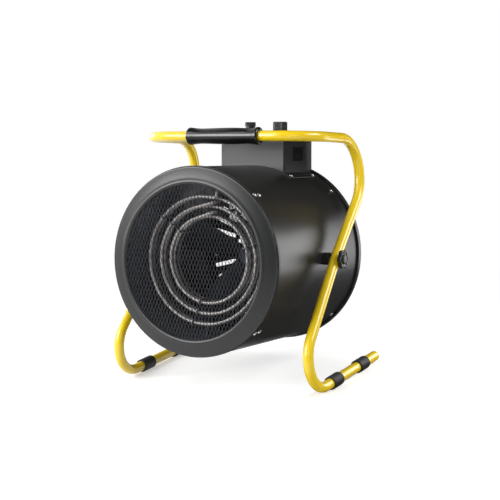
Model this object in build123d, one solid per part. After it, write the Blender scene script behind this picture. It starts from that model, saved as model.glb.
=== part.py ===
from build123d import *
import os
from math import acos, asin, ceil, cos, degrees, hypot, pi, radians, sin, sqrt, tan

os.makedirs("parts", exist_ok=True)

# ---------------------------------------------------------------------------
# Forced air heater: a sheet steel drum with a heating bank and an axial fan,
# hung at mid height in a bent tube stand that is foot, leg and carrying handle
# in one. Front faces -Y, +Z is up, the floor is Z = 0. All sizes in millimetres.
# ---------------------------------------------------------------------------

# ---- fits and gaps ----
running_gap = 0.3        # between pieces that move past each other
pin_clear = 0.05         # a pin or shaft in its hole, on the radius
slip_gap = 0.1           # between pieces that are pushed together and stay

# ---- drum, measured back from its front edge along its own axis ----
drum_r = 179.2
drum_t = 1.2
drum_len = 346.6
collar_w = 12.0          # raised collar round the mouth
collar_step = 1.6
sheet_t = 1.2            # sheet of the smaller pressings

# ---- front ring, net and liner ----
ring_over = 0.8          # the ring's rim stands this far proud of the drum's side
ring_w = 34.0            # ring's face from the mouth to the rim
ring_crest = 13.9        # bead round the mouth, ahead of the drum's edge
ring_bead_w = 8.4        # that bead, from the mouth to where the face falls away
ring_bead_drop = 2.0
ring_roll = 2.7          # rounding of the mouth's edge
ring_edge = 4.4          # where the face turns into the flank, ahead of the drum's edge
ring_edge_w = 2.6
ring_groove_w = 1.9      # shadow groove between the ring's rim and the drum's edge
ring_groove_d = 2.4
skirt_len = 9.0          # skirt inside the collar
net_seat = 4.6           # net behind the crest
net_rim = 5.0            # plain rim of the net, behind the bead
net_gap_w = 7.4          # one gap of the net across, with its strand
net_gap_h = 17.4         # and up
net_strand = 2.6
liner_gap = 24.2         # air space between the liner and the drum's outside
liner_len = 168.0
liner_flange = 6.0

# ---- heating bank: place of each coil's first turn, turns ----
rod_r = 3.5
rod_pitch = 14.0
outer_coil_in = 33.0     # outer coil inside the liner, the next ones inside the one before
outer_coil_y = 32.0
outer_turns = 2
middle_coil_in = 19.0
middle_coil_y = 43.0
middle_turns = 2
inner_coil_in = 20.0
inner_coil_y = 47.0
inner_turns = 3
rod_bend_r = 8.0
outer_lead = 18.0        # straight ahead of each coil's first turn
outer_rise = 18.0        # and the outer one's step towards the liner
middle_lead = 45.0
inner_lead = 42.0
terminal_y = 132.0       # plate that carries the rod ends
bush_r = 6.0
bush_len = 9.0
finger_w = 13.0          # comb strips
spine_w = 12.0
comb_angles = (18.0, 138.0, 258.0)

# ---- fan and motor ----
fan_gap = 19.2           # blade tips inside the drum's outside
hub_r = 27.0
hub_len = 34.0
fan_y = 222.0            # mid plane of the blades
blade_count = 5
blade_t = 2.0
root_chord = 46.0        # blade's width and hollow at the hub, half way out and at the tip
root_camber = 5.0
mid_chord = 74.0
mid_camber = 7.0
tip_chord = 92.0
tip_camber = 8.0
blade_pitch = (42.0, 31.0, 22.0)
motor_r = 47.0
motor_len = 86.0
shaft_r = 4.0
guard_slot_w = 8.0

# ---- rear ring and guard ----
rear_ring_over = 4.2     # rim of the rear ring, proud of the drum's side
rear_ring_w = 11.0
rear_lip_w = 13.0

# ---- screws ----
screw_r = 2.0
screw_head_r = 4.2
screw_head_h = 2.6
ring_screw_y = 5.0
liner_screw_y = 23.5
tail_screw_y = 325.0
screw_angles = (45.0, 135.0, 225.0, 315.0)

# ---- control box on top ----
box_w = 146.0
box_y0 = 223.2
box_len = 121.0
box_rise = 58.8          # top of the box above the drum's side
box_t = 1.2
box_corner_r = 3.0
flange_w = 21.0          # base flange along each side, measured round the drum
flange_past = 6.0        # flange ahead of the box's front face
flange_screw_inset = 2.5
flange_screw_pitch = 93.0
thermostat_x = 31.0
selector_x = -38.5
knob_y = 283.7
thermostat_knob_r = 14.6
selector_knob_r = 10.6
knob_h = 28.5
spindle_r = 3.0
gland_r = 11.0
gland_bore_r = 5.5
gland_rise = 27.8
body_w = 34.0            # thermostat body, across and along
body_h = 24.0
switch_r = 19.0
switch_h = 26.0
block_w = 66.0           # terminal block, on the drum under the box
block_d = 20.0
block_h = 16.0
block_back = 30.0
block_tail_w = 54.0
block_tail_h = 12.0

# ---- pivot and clamp ----
pivot_back = 189.2       # pivot behind the drum's front edge
rest_tilt = 7.25         # the drum rests with its mouth raised
stud_r = 4.0
spacer_r = 12.0
washer_r = 11.0
washer_t = 1.2
clamp_knob_r = 19.0
clamp_knob_t = 9.0
clamp_lobes = 6
nut_across = 13.0
nut_t = 6.5

# ---- stand ----
tube_r = 10.0
tube_t = 1.5
side_gap = 12.9          # between the drum and the tube beside it, at the pivot
splay = 0.0613           # the sides lean in by this much for each mm of height
handle_y = -60.6         # handle bar, from the pivot
handle_z = 245.9
handle_bend_r = 75.0
back_y = 255.0           # corner that the rear bend rounds off
back_z = 197.8
back_bend_r = 75.0
pivot_bend_r = 250.0
front_y = -245.0         # corner that the front bend rounds off
foot_drop = 225.3
front_bend_r = 58.0
foot_end_y = 126.7
sleeve_wall = 3.0
sleeve_len = 38.0
sleeve_flat = 0.5        # the sleeves are worn flat where they stand
front_sleeve_y = -59.5
rear_sleeve_y = 60.0
grip_len = 158.0
grip_shift = 8.5
grip_end_wall = 7.0
grip_neck_wall = 4.8
grip_swell_wall = 5.9
plug_len = 14.0
plug_head = 3.0
joiner_len = 100.0

# ---- what follows from these ----
grip_end_r = tube_r + grip_end_wall
grip_neck_r = tube_r + grip_neck_wall
grip_swell_r = tube_r + grip_swell_wall
ring_r = drum_r + ring_over
ring_mouth_r = ring_r - ring_w        # clear mouth
liner_r = drum_r - liner_gap
outer_coil_r = liner_r - outer_coil_in
middle_coil_r = outer_coil_r - middle_coil_in
inner_coil_r = middle_coil_r - inner_coil_in
fan_r = drum_r - fan_gap
rear_ring_r = drum_r + rear_ring_over
box_top = drum_r + box_rise           # above the drum's axis
gland_z = drum_r + gland_rise
half_w = drum_r + side_gap + tube_r   # tube centre line from the middle, at the pivot
sleeve_r = tube_r + sleeve_wall
pivot_z = foot_drop + sleeve_r - sleeve_flat
tube_bore = tube_r - tube_t
net_y = net_seat - ring_crest
liner_out_r = liner_r + sheet_t
drum_in_r = drum_r - drum_t
tube_in_x = half_w - tube_r
tube_out_x = half_w + tube_r
guard_y = drum_len
rear_face_y = guard_y + 2 * sheet_t
lean_gap = running_gap + splay * spacer_r   # the leaning tube against the square-cut spacer and washer


# ---------------------------------------------------------------------------
# Helpers
# ---------------------------------------------------------------------------
def bent_wire(points, radii):
    """Straight runs through the corner points, joined by tangent arcs."""
    points = [Vector(*p) for p in points]
    edges = []
    here = points[0]
    for before, corner, after, r in zip(points, points[1:], points[2:], radii):
        u = (before - corner).normalized()
        v = (after - corner).normalized()
        half = radians(u.get_angle(v)) / 2
        start = corner + u * (r / tan(half))
        end = corner + v * (r / tan(half))
        middle = corner + (u + v).normalized() * (r / sin(half) - r)
        edges.append(Line(here, start))
        edges.append(ThreePointArc(start, middle, end))
        here = end
    edges.append(Line(here, points[-1]))
    return Wire([e.edge() if not isinstance(e, Edge) else e for e in edges])


def rod(path, r):
    """Round bar swept along a path."""
    section = Plane(origin=path @ 0, z_dir=path % 0) * Circle(r)
    return sweep(section.face(), path=path).solid()


def spun(*points):
    """Solid of revolution about the drum's axis from (radius, y) points."""
    profile = make_face(Polyline(*points, close=True))
    return revolve(profile, axis=Axis.Y).solid()


def on_axis_y(y, shape):
    """Turn a shape drawn along +Z to run along +Y, with its base at y."""
    return Pos(0, y, 0) * Rot(-90, 0, 0) * shape


def disc_y(y, r, depth, hole=0.0):
    """Disc across the drum's axis, from y back."""
    plate = Cylinder(r, depth, align=above)
    if hole:
        plate -= Cylinder(hole, depth, align=above)
    return on_axis_y(y, plate)


def radial(angle, y, shape):
    """Place a shape that points along +X so that it points outward at this angle round the drum."""
    return Rot(0, -angle, 0) * Pos(0, y, 0) * shape


def bar_x(x0, x1, r):
    """Cylinder along X from x0 to x1."""
    return Pos(x0, 0, 0) * Rot(0, 90, 0) * Cylinder(r, x1 - x0, align=above)


def round_hole(angle, y, r):
    """Cutter for a hole through the drum's wall, or through any ring about the axis."""
    return radial(angle, y, bar_x(drum_r * 0.5, drum_r * 1.2, r))


def hung(shape):
    """From the drum's own frame to the stand: tilted about the pivot, at its height."""
    return Pos(0, 0, pivot_z) * Rot(-rest_tilt, 0, 0) * Pos(0, -pivot_back, 0) * shape


def stood(shape):
    """From the pivot's frame, not tilted, to the stand."""
    return Pos(0, 0, pivot_z) * shape


def group(solids):
    """Several like pieces kept together in one file."""
    return Compound(children=[s for piece in solids for s in piece.solids()])


above = (Align.CENTER, Align.CENTER, Align.MIN)   # a shape that stands on its place
under = (Align.CENTER, Align.CENTER, Align.MAX)   # a shape that hangs from its place
nodes = {}


# ---------------------------------------------------------------------------
# Stand: two mirrored tube bends joined under the grip
# ---------------------------------------------------------------------------
def side_x(z):
    return half_w - splay * z


side_points = [
    (0, handle_y, handle_z),
    (side_x(handle_z), handle_y, handle_z),
    (side_x(back_z), back_y, back_z),
    (half_w, 0, 0),
    (side_x(-foot_drop), front_y, -foot_drop),
    (side_x(-foot_drop), foot_end_y, -foot_drop),
]
side_path = bent_wire(side_points, [handle_bend_r, back_bend_r, pivot_bend_r, front_bend_r])
pivot_hole = bar_x(half_w - 2 * tube_r, half_w + 2 * tube_r, stud_r + pin_clear)
side_tube = rod(side_path, tube_r) - rod(side_path, tube_bore) - pivot_hole

foot_x = side_x(-foot_drop)


def along_foot(y, length, shape_r):
    """Round piece on the foot, centred at y."""
    body = Rot(90, 0, 0) * Cylinder(shape_r, length)
    return Pos(foot_x, y, -foot_drop) * body


def foot_sleeve(y):
    body = fillet(along_foot(y, sleeve_len, sleeve_r).edges(), 1.2)
    body -= along_foot(y, sleeve_len, tube_r)
    floor = Pos(foot_x, y, -pivot_z) * Box(4 * sleeve_r, 2 * sleeve_len, 2 * sleeve_r, align=under)
    return body - floor


plug = along_foot(foot_end_y + plug_head / 2, plug_head, tube_r)
plug = fillet(plug.edges().group_by(Axis.Y)[-1], plug_head * 0.8)
plug += along_foot(foot_end_y - plug_len / 2, plug_len, tube_bore - slip_gap)

for side, name in ((1, "right"), (-1, "left")):
    def both(shape):
        return shape if side > 0 else mirror(shape, about=Plane.YZ)

    nodes["frame_tube_" + name] = stood(both(side_tube))
    nodes["foot_sleeve_front_" + name] = stood(both(foot_sleeve(front_sleeve_y)))
    nodes["foot_sleeve_rear_" + name] = stood(both(foot_sleeve(rear_sleeve_y)))
    nodes["tube_plug_" + name] = stood(both(plug))

nodes["frame_joiner"] = stood(
    Pos(0, handle_y, handle_z) * (bar_x(-joiner_len / 2, joiner_len / 2, tube_bore - slip_gap)
                                  - bar_x(-joiner_len / 2, joiner_len / 2, tube_bore - 2 * tube_t)))

# The grip swells in the middle, necks in towards its ends and flares to a rounded rim.
g = grip_len / 2
grip_line = Spline(
    (-g + 3.0, grip_end_r),
    (-g + 0.22 * grip_len, grip_neck_r),
    (0.12 * grip_len, grip_swell_r),
    (g - 0.16 * grip_len, grip_neck_r),
    (g - 3.0, grip_end_r),
    tangents=[(1, -0.15), (1, 0.15)])
grip_ends = Polyline((g - 3.0, grip_end_r), (g, grip_end_r - 2.0), (g, tube_r), (-g, tube_r),
                     (-g, grip_end_r - 2.0), (-g + 3.0, grip_end_r))
grip = revolve(make_face([grip_line, grip_ends]), axis=Axis.X).solid()
nodes["handle_grip"] = stood(Pos(grip_shift, handle_y, handle_z) * grip)


# ---------------------------------------------------------------------------
# Drum
# ---------------------------------------------------------------------------
collar_r = drum_r + collar_step
outer_line = [(collar_r, 0), (collar_r, collar_w - 1.5), (drum_r, collar_w), (drum_r, drum_len)]
inner_line = [(r - drum_t, y) for r, y in reversed(outer_line)]
drum = spun(*outer_line, *inner_line)

flange_mid_angle = degrees(acos(box_w / 2 / drum_r)) - degrees(flange_w / 2 / drum_r)
flange_screw_angle = flange_mid_angle + degrees((flange_w / 2 - 14.5) / drum_r)
flange_screw_ys = (box_y0 + flange_screw_inset, box_y0 + flange_screw_inset + flange_screw_pitch)
screw_spots = {
    "ring_screws": [(a, ring_screw_y, collar_r) for a in screw_angles],
    "liner_screws": [(a, liner_screw_y, drum_r) for a in screw_angles],
    "tail_screws": [(a, tail_screw_y, drum_r) for a in screw_angles],
    "box_screws": [(a, y, drum_r + sheet_t) for a in (flange_screw_angle, 180 - flange_screw_angle)
                   for y in flange_screw_ys],
}
for spots in screw_spots.values():
    for angle, y, seat in spots:
        drum -= round_hole(angle, y, screw_r)
for side in (0, 180):
    drum -= round_hole(side, pivot_back, stud_r)
wire_hole_r = 16.0
drum -= round_hole(90, knob_y, wire_hole_r)
nodes["drum_shell"] = hung(drum)


def dome_screw(seat, shank):
    """Domed screw along +X: the head sits on the seat, the shank goes inward."""
    dome_r = (screw_head_r ** 2 + screw_head_h ** 2) / (2 * screw_head_h)
    line = Line((0, 0), (0, screw_head_h))
    arc = ThreePointArc((0, screw_head_h),
                        (dome_r * sin(radians(30)), screw_head_h - dome_r * (1 - cos(radians(30)))),
                        (screw_head_r, 0))
    low = Polyline((screw_head_r, 0), (screw_r, 0), (screw_r, -shank), (0, -shank), (0, 0))
    body = revolve(make_face([line, arc, low]), axis=Axis.Y).solid()
    return Pos(seat, 0, 0) * Rot(0, 0, -90) * body


# ---------------------------------------------------------------------------
# Front ring: bead round the mouth, face falling away, rolled rim, groove, skirt in the collar
# ---------------------------------------------------------------------------
skirt_r = collar_r - drum_t - slip_gap
skirt_in_r = skirt_r - sheet_t
roll_r = ring_mouth_r + ring_roll
roll_y = ring_roll - ring_crest
bead_r = ring_mouth_r + ring_bead_w
bead_y = ring_bead_drop - ring_crest
rim_r = ring_r - ring_edge_w
flank_y = -ring_groove_w - 0.5
groove_r = ring_r - ring_groove_d
fall_r = (bead_r + rim_r) / 2
fall_y = (bead_y - ring_edge) / 2 - 0.25
ring_profile = [
    ThreePointArc((ring_mouth_r, roll_y),
                  (roll_r - ring_roll * cos(pi / 4), roll_y - ring_roll * sin(pi / 4)),
                  (roll_r, -ring_crest)),
    ThreePointArc((roll_r, -ring_crest), ((roll_r + bead_r) / 2, bead_y - ring_bead_drop * 0.68),
                  (bead_r, bead_y)),
    ThreePointArc((bead_r, bead_y), (fall_r, fall_y), (rim_r, -ring_edge)),
    ThreePointArc((rim_r, -ring_edge), (ring_r - 0.6, (flank_y - ring_edge) / 2 - 0.1), (ring_r, flank_y)),
    Polyline((ring_r, flank_y), (ring_r, -ring_groove_w), (groove_r, 1.2 - ring_groove_w), (groove_r, 0.2),
             (skirt_r, 1.6), (skirt_r, skirt_len), (skirt_in_r, skirt_len), (skirt_in_r, 2.1),
             (groove_r - sheet_t, 0.7), (groove_r - sheet_t, sheet_t + 0.5 - ring_edge)),
    ThreePointArc((groove_r - sheet_t, sheet_t + 0.5 - ring_edge), (fall_r, fall_y + sheet_t),
                  (bead_r, bead_y + sheet_t)),
    Polyline((bead_r, bead_y + sheet_t), (bead_r - 2.0, net_y), (ring_mouth_r, net_y),
             (ring_mouth_r, roll_y)),
]
front_ring = revolve(make_face(ring_profile), axis=Axis.Y).solid()
for angle, y, seat in screw_spots["ring_screws"]:
    front_ring -= round_hole(angle, y, screw_r)
nodes["front_ring"] = hung(front_ring)

# ---------------------------------------------------------------------------
# Net: one sheet with a staggered pattern of diamond gaps, cut off round at the rim
# ---------------------------------------------------------------------------
net_open_r = ring_mouth_r
net_out_r = ring_mouth_r + net_rim
gap_w = net_gap_w - net_strand
gap_h = net_gap_h - net_strand * net_gap_h / net_gap_w
across = ceil(net_open_r / net_gap_w)
upward = ceil(2 * net_open_r / net_gap_h)
disc = Circle(net_open_r).face()
gap_wires = []
for row in range(-upward, upward + 1):
    for col in range(-across, across + 1):
        cx = (col + 0.5 * (row % 2)) * net_gap_w
        cz = row * net_gap_h / 2
        corners = [(cx - gap_w / 2, cz), (cx, cz - gap_h / 2), (cx + gap_w / 2, cz), (cx, cz + gap_h / 2)]
        reaches = [hypot(*c) for c in corners]
        if min(hypot(cx, cz), *reaches) > net_open_r:
            continue
        gap = make_face(Polyline(*corners, close=True)).face()
        if max(reaches) > net_open_r - 0.5:
            gap = (Sketch() + gap & disc).faces()
            gap = [f for f in gap if f.area > 0.12 * gap_w * gap_h]
            gap_wires += [f.outer_wire() for f in gap]
        else:
            gap_wires.append(gap.outer_wire())
net_face = Face(Circle(net_out_r).face().outer_wire(), gap_wires)
net = extrude(net_face, amount=sheet_t, dir=(0, 0, 1))
print("gaps in the net", len(gap_wires))
nodes["front_net"] = hung(on_axis_y(net_y, net.solid()))

# ---------------------------------------------------------------------------
# Liner: heat shield with a front flange behind the net, held off the drum by spacers
# ---------------------------------------------------------------------------
liner_y = net_y + sheet_t
liner = spun((liner_r, liner_y + sheet_t), (liner_r - liner_flange, liner_y + sheet_t),
             (liner_r - liner_flange, liner_y), (liner_out_r, liner_y), (liner_out_r, liner_len),
             (liner_r, liner_len))
for angle, y, seat in screw_spots["liner_screws"]:
    liner -= round_hole(angle, y, screw_r)
nodes["liner"] = hung(liner)
spacer_ring_r = 5.0
spacers = []
for angle, y, seat in screw_spots["liner_screws"]:
    post = bar_x(liner_out_r - 2, drum_r, spacer_ring_r) - bar_x(liner_out_r - 3, drum_r + 1, screw_r)
    post = radial(angle, y, post)
    post = post - disc_y(0, liner_out_r, liner_len)
    spacers.append(post & disc_y(0, drum_in_r, liner_len))
nodes["liner_spacers"] = hung(group(spacers))

shank = {"ring_screws": 2 * drum_t + 2.5, "liner_screws": drum_r - liner_r + 2.0,
         "tail_screws": 2 * drum_t + 3.0, "box_screws": sheet_t + drum_t + 3.0}
for name, spots in screw_spots.items():
    screws = [radial(angle, y, dome_screw(seat + 0.02, shank[name])) for angle, y, seat in spots]
    nodes[name] = hung(group(screws))


# ---------------------------------------------------------------------------
# Heating rods: three coils, each one unbroken tube with both ends led back to a plate
# ---------------------------------------------------------------------------
def coil_point(r, y, turn):
    return Vector(r * cos(turn), y, r * sin(turn))


def coil_way(r, pitch, turn):
    return Vector(-r * sin(turn), pitch / (2 * pi), r * cos(turn)).normalized()


def biarc(p0, t0, p1, t1):
    """Two tangent arcs from p0 along t0 to p1 along t1."""
    v = p1 - p0
    t = t0 + t1
    a = 2 * (1 - t0.dot(t1))
    d = (-v.dot(t) + sqrt(v.dot(t) ** 2 + a * v.dot(v))) / a
    q = (p0 + t0 * d + p1 - t1 * d) * 0.5
    first = TangentArc(p0, q, tangent=t0)
    way = (first.edge() % 1) if not isinstance(first, Edge) else (first % 1)
    return [first, TangentArc(q, p1, tangent=way)]


def heating_rod(r, y0, turns, start, stop, reach, rise):
    """Coil from the start angle on, `turns` times round less the stop angle. The front end runs
    on along its tangent by reach, steps outward by rise and goes back; the rear end turns back."""
    a0 = radians(start)
    a1 = a0 + 2 * pi * turns - radians(stop)
    steps = ceil((a1 - a0) / (pi / 2))
    knots = [a0 + (a1 - a0) * i / steps for i in range(steps + 1)]
    place = [coil_point(r, y0 + rod_pitch * (a - a0) / (2 * pi), a) for a in knots]
    ways = [coil_way(r, rod_pitch, a) for a in knots]
    coil = []
    for p0, t0, p1, t1 in zip(place, ways, place[1:], ways[1:]):
        coil += biarc(p0, t0, p1, t1)
    back = Vector(0, terminal_y + 12.0, 0)
    corner = place[0] - ways[0] * reach
    lead = [place[0], corner]
    if rise:
        outward = Vector(place[0].X, 0, place[0].Z).normalized()
        corner = corner + outward * rise
        lead.append(corner)
    lead.append(Vector(corner.X, back.Y, corner.Z))
    lead = lead[::-1]
    front = bent_wire([tuple(p) for p in lead], [rod_bend_r] * (len(lead) - 2))
    tail_corner = place[-1] + ways[-1] * (rod_bend_r + 2.0)
    tail = [place[-1], tail_corner, Vector(tail_corner.X, back.Y, tail_corner.Z)]
    rear = bent_wire([tuple(p) for p in tail], [rod_bend_r])
    edges = [*front.edges(), *[e if isinstance(e, Edge) else e.edge() for e in coil], *rear.edges()]
    path = Wire(edges)
    return path, (lead[0], tail[-1])


coils = {
    "heating_rod_outer": (outer_coil_r, outer_coil_y, outer_turns, 84, 28, outer_lead, outer_rise),
    "heating_rod_middle": (middle_coil_r, middle_coil_y, middle_turns, 104, 50, middle_lead, 0.0),
    "heating_rod_inner": (inner_coil_r, inner_coil_y, inner_turns, 108, 56, inner_lead, 0.0),
}
rod_ends = []
rod_lines = {}
for name, values in coils.items():
    path, ends = heating_rod(*values)
    rod_lines[name] = path
    rod_ends += ends
    nodes[name] = hung(rod(path, rod_r))
    print(name, "length", round(path.length, 1))

# Least gap of each rod to itself and to the others, measured on points along the centre lines.
spots = {n: [w @ ((i + 0.5) / 900) for i in range(900)] for n, w in rod_lines.items()}
for name, points in spots.items():
    pace = rod_lines[name].length / len(points)
    skip = ceil(6 * rod_r / pace)
    least = min((points[i] - points[j]).length for i in range(0, len(points), 3)
                for j in range(i + skip, len(points), 2))
    print("least gap of", name, "to itself", round(least - 2 * rod_r, 2))
for one, two in (("heating_rod_outer", "heating_rod_middle"), ("heating_rod_middle", "heating_rod_inner")):
    least = min((p - q).length for p in spots[one][::2] for q in spots[two][::2])
    print("least gap between", one, "and", two, round(least - 2 * rod_r, 2))

# Combs: radial strips on the liner; each rod passes through its own hole.
spine_y = max(y + rod_pitch * turns for r, y, turns, *rest in coils.values()) + rod_r + 2.0
comb_in_r = inner_coil_r - finger_w / 2
combs = []
for angle in comb_angles:
    outline = Pos((comb_in_r + liner_r + 4) / 2, spine_y + spine_w / 2) * Rectangle(
        liner_r + 4 - comb_in_r, spine_w)
    for r, y0, turns, *rest in coils.values():
        tip_y = y0 + rod_pitch * ((angle - rest[0]) % 360) / 360 - rod_r - 4.0
        outline += Pos(r, (tip_y + spine_y + 1) / 2) * RectangleRounded(finger_w, spine_y + 1 - tip_y, 3.0)
    plate = extrude(outline, amount=sheet_t / 2, both=True)
    for r, y0, turns, start, stop, reach, rise in coils.values():
        for k in range(turns + 1):
            turn = ((angle - start) % 360) / 360 + k
            if turn < turns - stop / 360:
                plate -= Pos(r, y0 + rod_pitch * turn, 0) * Cylinder(rod_r + 2 * slip_gap, 4)
    plate = radial(angle, 0, plate)
    combs.append(plate & disc_y(0, liner_r - 0.02, liner_len))
nodes["rod_combs"] = hung(group(combs))

# Terminal plate: a ring sector across the liner that carries the rod ends in ceramic bushes.
plate_angles = [degrees(asin(p.Z / hypot(p.X, p.Z))) for p in rod_ends]
plate_angles = [a if p.X > 0 else 180 - a for a, p in zip(plate_angles, rod_ends)]
plate_from = min(plate_angles) - 8
plate_to = max(plate_angles) + 8
plate_in_r = min(hypot(p.X, p.Z) for p in rod_ends) - 12
sector = Polyline((0, 0), *[(2 * liner_r * cos(radians(a)), 2 * liner_r * sin(radians(a)))
                            for a in (plate_from, (plate_from + plate_to) / 2, plate_to)], close=True)
sector = make_face(sector) & Circle(liner_r - 0.02) - Circle(plate_in_r)
terminal_plate = extrude(sector, amount=sheet_t)
terminal_plate = Pos(0, terminal_y, 0) * Rot(90, 0, 0) * terminal_plate
bushes = []
for p in rod_ends:
    hole = on_axis_y(terminal_y - 5, Pos(p.X, -p.Z, 0) * Cylinder(bush_r - 1.5, 10, align=above))
    terminal_plate -= hole
    collar = Cylinder(bush_r, bush_len - 4, align=above)
    collar += Cylinder(bush_r - 1.5, bush_len, align=under)
    collar -= Cylinder(rod_r + slip_gap, 4 * bush_len)
    bushes.append(on_axis_y(terminal_y, Pos(p.X, -p.Z, 0) * collar))
nodes["terminal_plate"] = hung(terminal_plate)
nodes["terminal_bushes"] = hung(group(bushes))

# ---------------------------------------------------------------------------
# Fan, shaft, motor and its bracket
# ---------------------------------------------------------------------------
hub_y0 = fan_y - hub_len / 2
hub = revolve(make_face([
    Polyline((shaft_r, hub_y0 + 1.0), (hub_r - 7.0, hub_y0)),
    ThreePointArc((hub_r - 7.0, hub_y0), (hub_r - 2.0, hub_y0 + 2.0), (hub_r, hub_y0 + 7.0)),
    Polyline((hub_r, hub_y0 + 7.0), (hub_r, hub_y0 + hub_len), (hub_r - 2.5, hub_y0 + hub_len),
             (hub_r - 2.5, hub_y0 + 9.0), (shaft_r + 6.0, hub_y0 + 9.0),
             (shaft_r + 6.0, hub_y0 + hub_len - 4.0), (shaft_r, hub_y0 + hub_len - 4.0),
             (shaft_r, hub_y0 + 1.0))]), axis=Axis.Y).solid()


def blade_section(r, chord, pitch, camber):
    """Thin curved section of a blade at radius r, drawn across the radius."""
    half = chord / 2
    low = ThreePointArc((-half, 0), (0, camber), (half, 0))
    high = ThreePointArc((half, blade_t), (0, camber + blade_t), (-half, blade_t))
    face = make_face([low, Line((half, 0), (half, blade_t)), high, Line((-half, blade_t), (-half, 0))])
    chord_way = (0, sin(radians(pitch)), cos(radians(pitch)))
    return Plane(origin=(r, fan_y, 0), x_dir=chord_way, z_dir=(1, 0, 0)) * face


blade = loft([blade_section(hub_r - 2.0, root_chord, blade_pitch[0], root_camber),
              blade_section((hub_r + fan_r) / 2, mid_chord, blade_pitch[1], mid_camber),
              blade_section(fan_r, tip_chord, blade_pitch[2], tip_camber)])
blade &= disc_y(hub_y0 - 30, fan_r, hub_len + 60)
blade -= disc_y(hub_y0 - 30, hub_r - 2.2, hub_len + 60)
fan = hub
for k in range(blade_count):
    fan += radial(360 / blade_count * k + 20, 0, blade)
nodes["fan_wheel"] = hung(fan.solid())

arm_t = 2.0
bracket_y = guard_y - 0.02
motor_y1 = bracket_y - arm_t
motor_y0 = motor_y1 - motor_len
shaft_y0 = hub_y0 + 1.0
shaft_y1 = motor_y0 + 40.0
nodes["motor_shaft"] = hung(disc_y(shaft_y0, shaft_r, shaft_y1 - shaft_y0))

bore_r = shaft_r + pin_clear
motor = spun((bore_r, motor_y0 - 6), (12, motor_y0 - 6), (12, motor_y0), (motor_r - 9, motor_y0),
             (motor_r - 2, motor_y0 + 5), (motor_r - 2, motor_y0 + 20), (motor_r, motor_y0 + 20),
             (motor_r, motor_y1 - 20), (motor_r - 2, motor_y1 - 20), (motor_r - 2, motor_y1 - 5),
             (motor_r - 9, motor_y1), (bore_r, motor_y1))
motor += disc_y(motor_y0 + 60, bore_r + 1, motor_len - 60)
nodes["motor_body"] = hung(motor.solid())

# Motor bracket: a centre plate with four arms to the drum, turned forward at their ends.
arm_w = 26.0
foot_len = 28.0
arm_end_r = drum_in_r
arm_line = make_face(Polyline(
    (motor_r - 12, bracket_y), (arm_end_r, bracket_y), (arm_end_r, bracket_y - foot_len),
    (arm_end_r - arm_t, bracket_y - foot_len), (arm_end_r - arm_t, bracket_y - arm_t),
    (motor_r - 12, bracket_y - arm_t), close=True))
arm = extrude(arm_line, amount=arm_w / 2, both=True)
bracket = disc_y(bracket_y - arm_t, motor_r + 6, arm_t, hole=14.0)
for angle in screw_angles:
    bracket += radial(angle, 0, arm)
    bracket -= round_hole(angle, tail_screw_y, screw_r)
bracket &= disc_y(bracket_y - foot_len - 1, drum_in_r - 0.02, foot_len + 2)
nodes["motor_bracket"] = hung(bracket.solid())

# ---------------------------------------------------------------------------
# Rear ring and guard
# ---------------------------------------------------------------------------
rear_ring = spun((drum_r + slip_gap, rear_face_y - rear_ring_w), (rear_ring_r, rear_face_y - rear_ring_w),
                 (rear_ring_r, rear_face_y - 1.5), (rear_ring_r - 1.5, rear_face_y),
                 (rear_ring_r - rear_lip_w, rear_face_y), (rear_ring_r - rear_lip_w, rear_face_y - sheet_t),
                 (drum_r + slip_gap, rear_face_y - sheet_t))
nodes["rear_ring"] = hung(rear_ring)

# Guard: one pressed sheet with two rows of radial slots round a plain centre.
guard_r = drum_r
rows = ((motor_r + 22, motor_r + 58, 20), (motor_r + 65, guard_r - 14, 40))
slots = []
for r0, r1, count in rows:
    slot = SlotOverall(r1 - r0, guard_slot_w).face()
    for k in range(count):
        slots.append((Rot(0, 0, 360 / count * (k + 0.5)) * Pos((r0 + r1) / 2, 0, 0) * slot).outer_wire())
guard = extrude(Face(Circle(guard_r).face().outer_wire(), slots), amount=sheet_t)
nodes["rear_guard"] = hung(on_axis_y(guard_y, guard.solid()))

# ---------------------------------------------------------------------------
# Control box: folded cover on the drum, with curved flanges along its sides
# ---------------------------------------------------------------------------
box_y1 = box_y0 + box_len
box_mid_y = (box_y0 + box_y1) / 2
box_low = drum_r * 0.8
shell_h = box_top - box_low
cover = Pos(0, box_mid_y, box_low) * Box(box_w, box_len, shell_h, align=above)
cover = fillet(cover.edges().filter_by(Axis.Z) + cover.edges().group_by(Axis.Z)[-1], box_corner_r)
hollow = Pos(0, box_mid_y, box_low) * Box(box_w - 2 * box_t, box_len - 2 * box_t, shell_h - box_t,
                                          align=above)
hollow = fillet(hollow.edges().filter_by(Axis.Z) + hollow.edges().group_by(Axis.Z)[-1], box_corner_r - box_t)
cover -= hollow
flange_out = degrees(acos(box_w / 2 / (drum_r + box_t))) - degrees(flange_w / drum_r)
ring_y0 = rear_face_y - rear_ring_w
cuff_y0 = box_y0 - flange_past
cuff_y1 = ring_y0 - slip_gap
cuff = disc_y(cuff_y0, drum_r + box_t, cuff_y1 - cuff_y0, hole=drum_r - 1)
reach_x = (drum_r + box_t) * cos(radians(flange_out))
for side in (1, -1):
    strip = Pos(side * (box_w / 2 - box_t), box_mid_y, drum_r * 0.6) * Box(
        reach_x - box_w / 2 + box_t, 2 * box_len, drum_r,
        align=(Align.MIN if side > 0 else Align.MAX, Align.CENTER, Align.MIN))
    cover += cuff & strip
cover -= disc_y(box_y0 - 10, drum_r + 0.02, box_len + 20)
cover -= disc_y(ring_y0 - slip_gap, rear_ring_r + slip_gap, box_len)
for angle, y, seat in screw_spots["box_screws"]:
    cover -= round_hole(angle, y, screw_r)
bush_hole_r = 5.0
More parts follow.
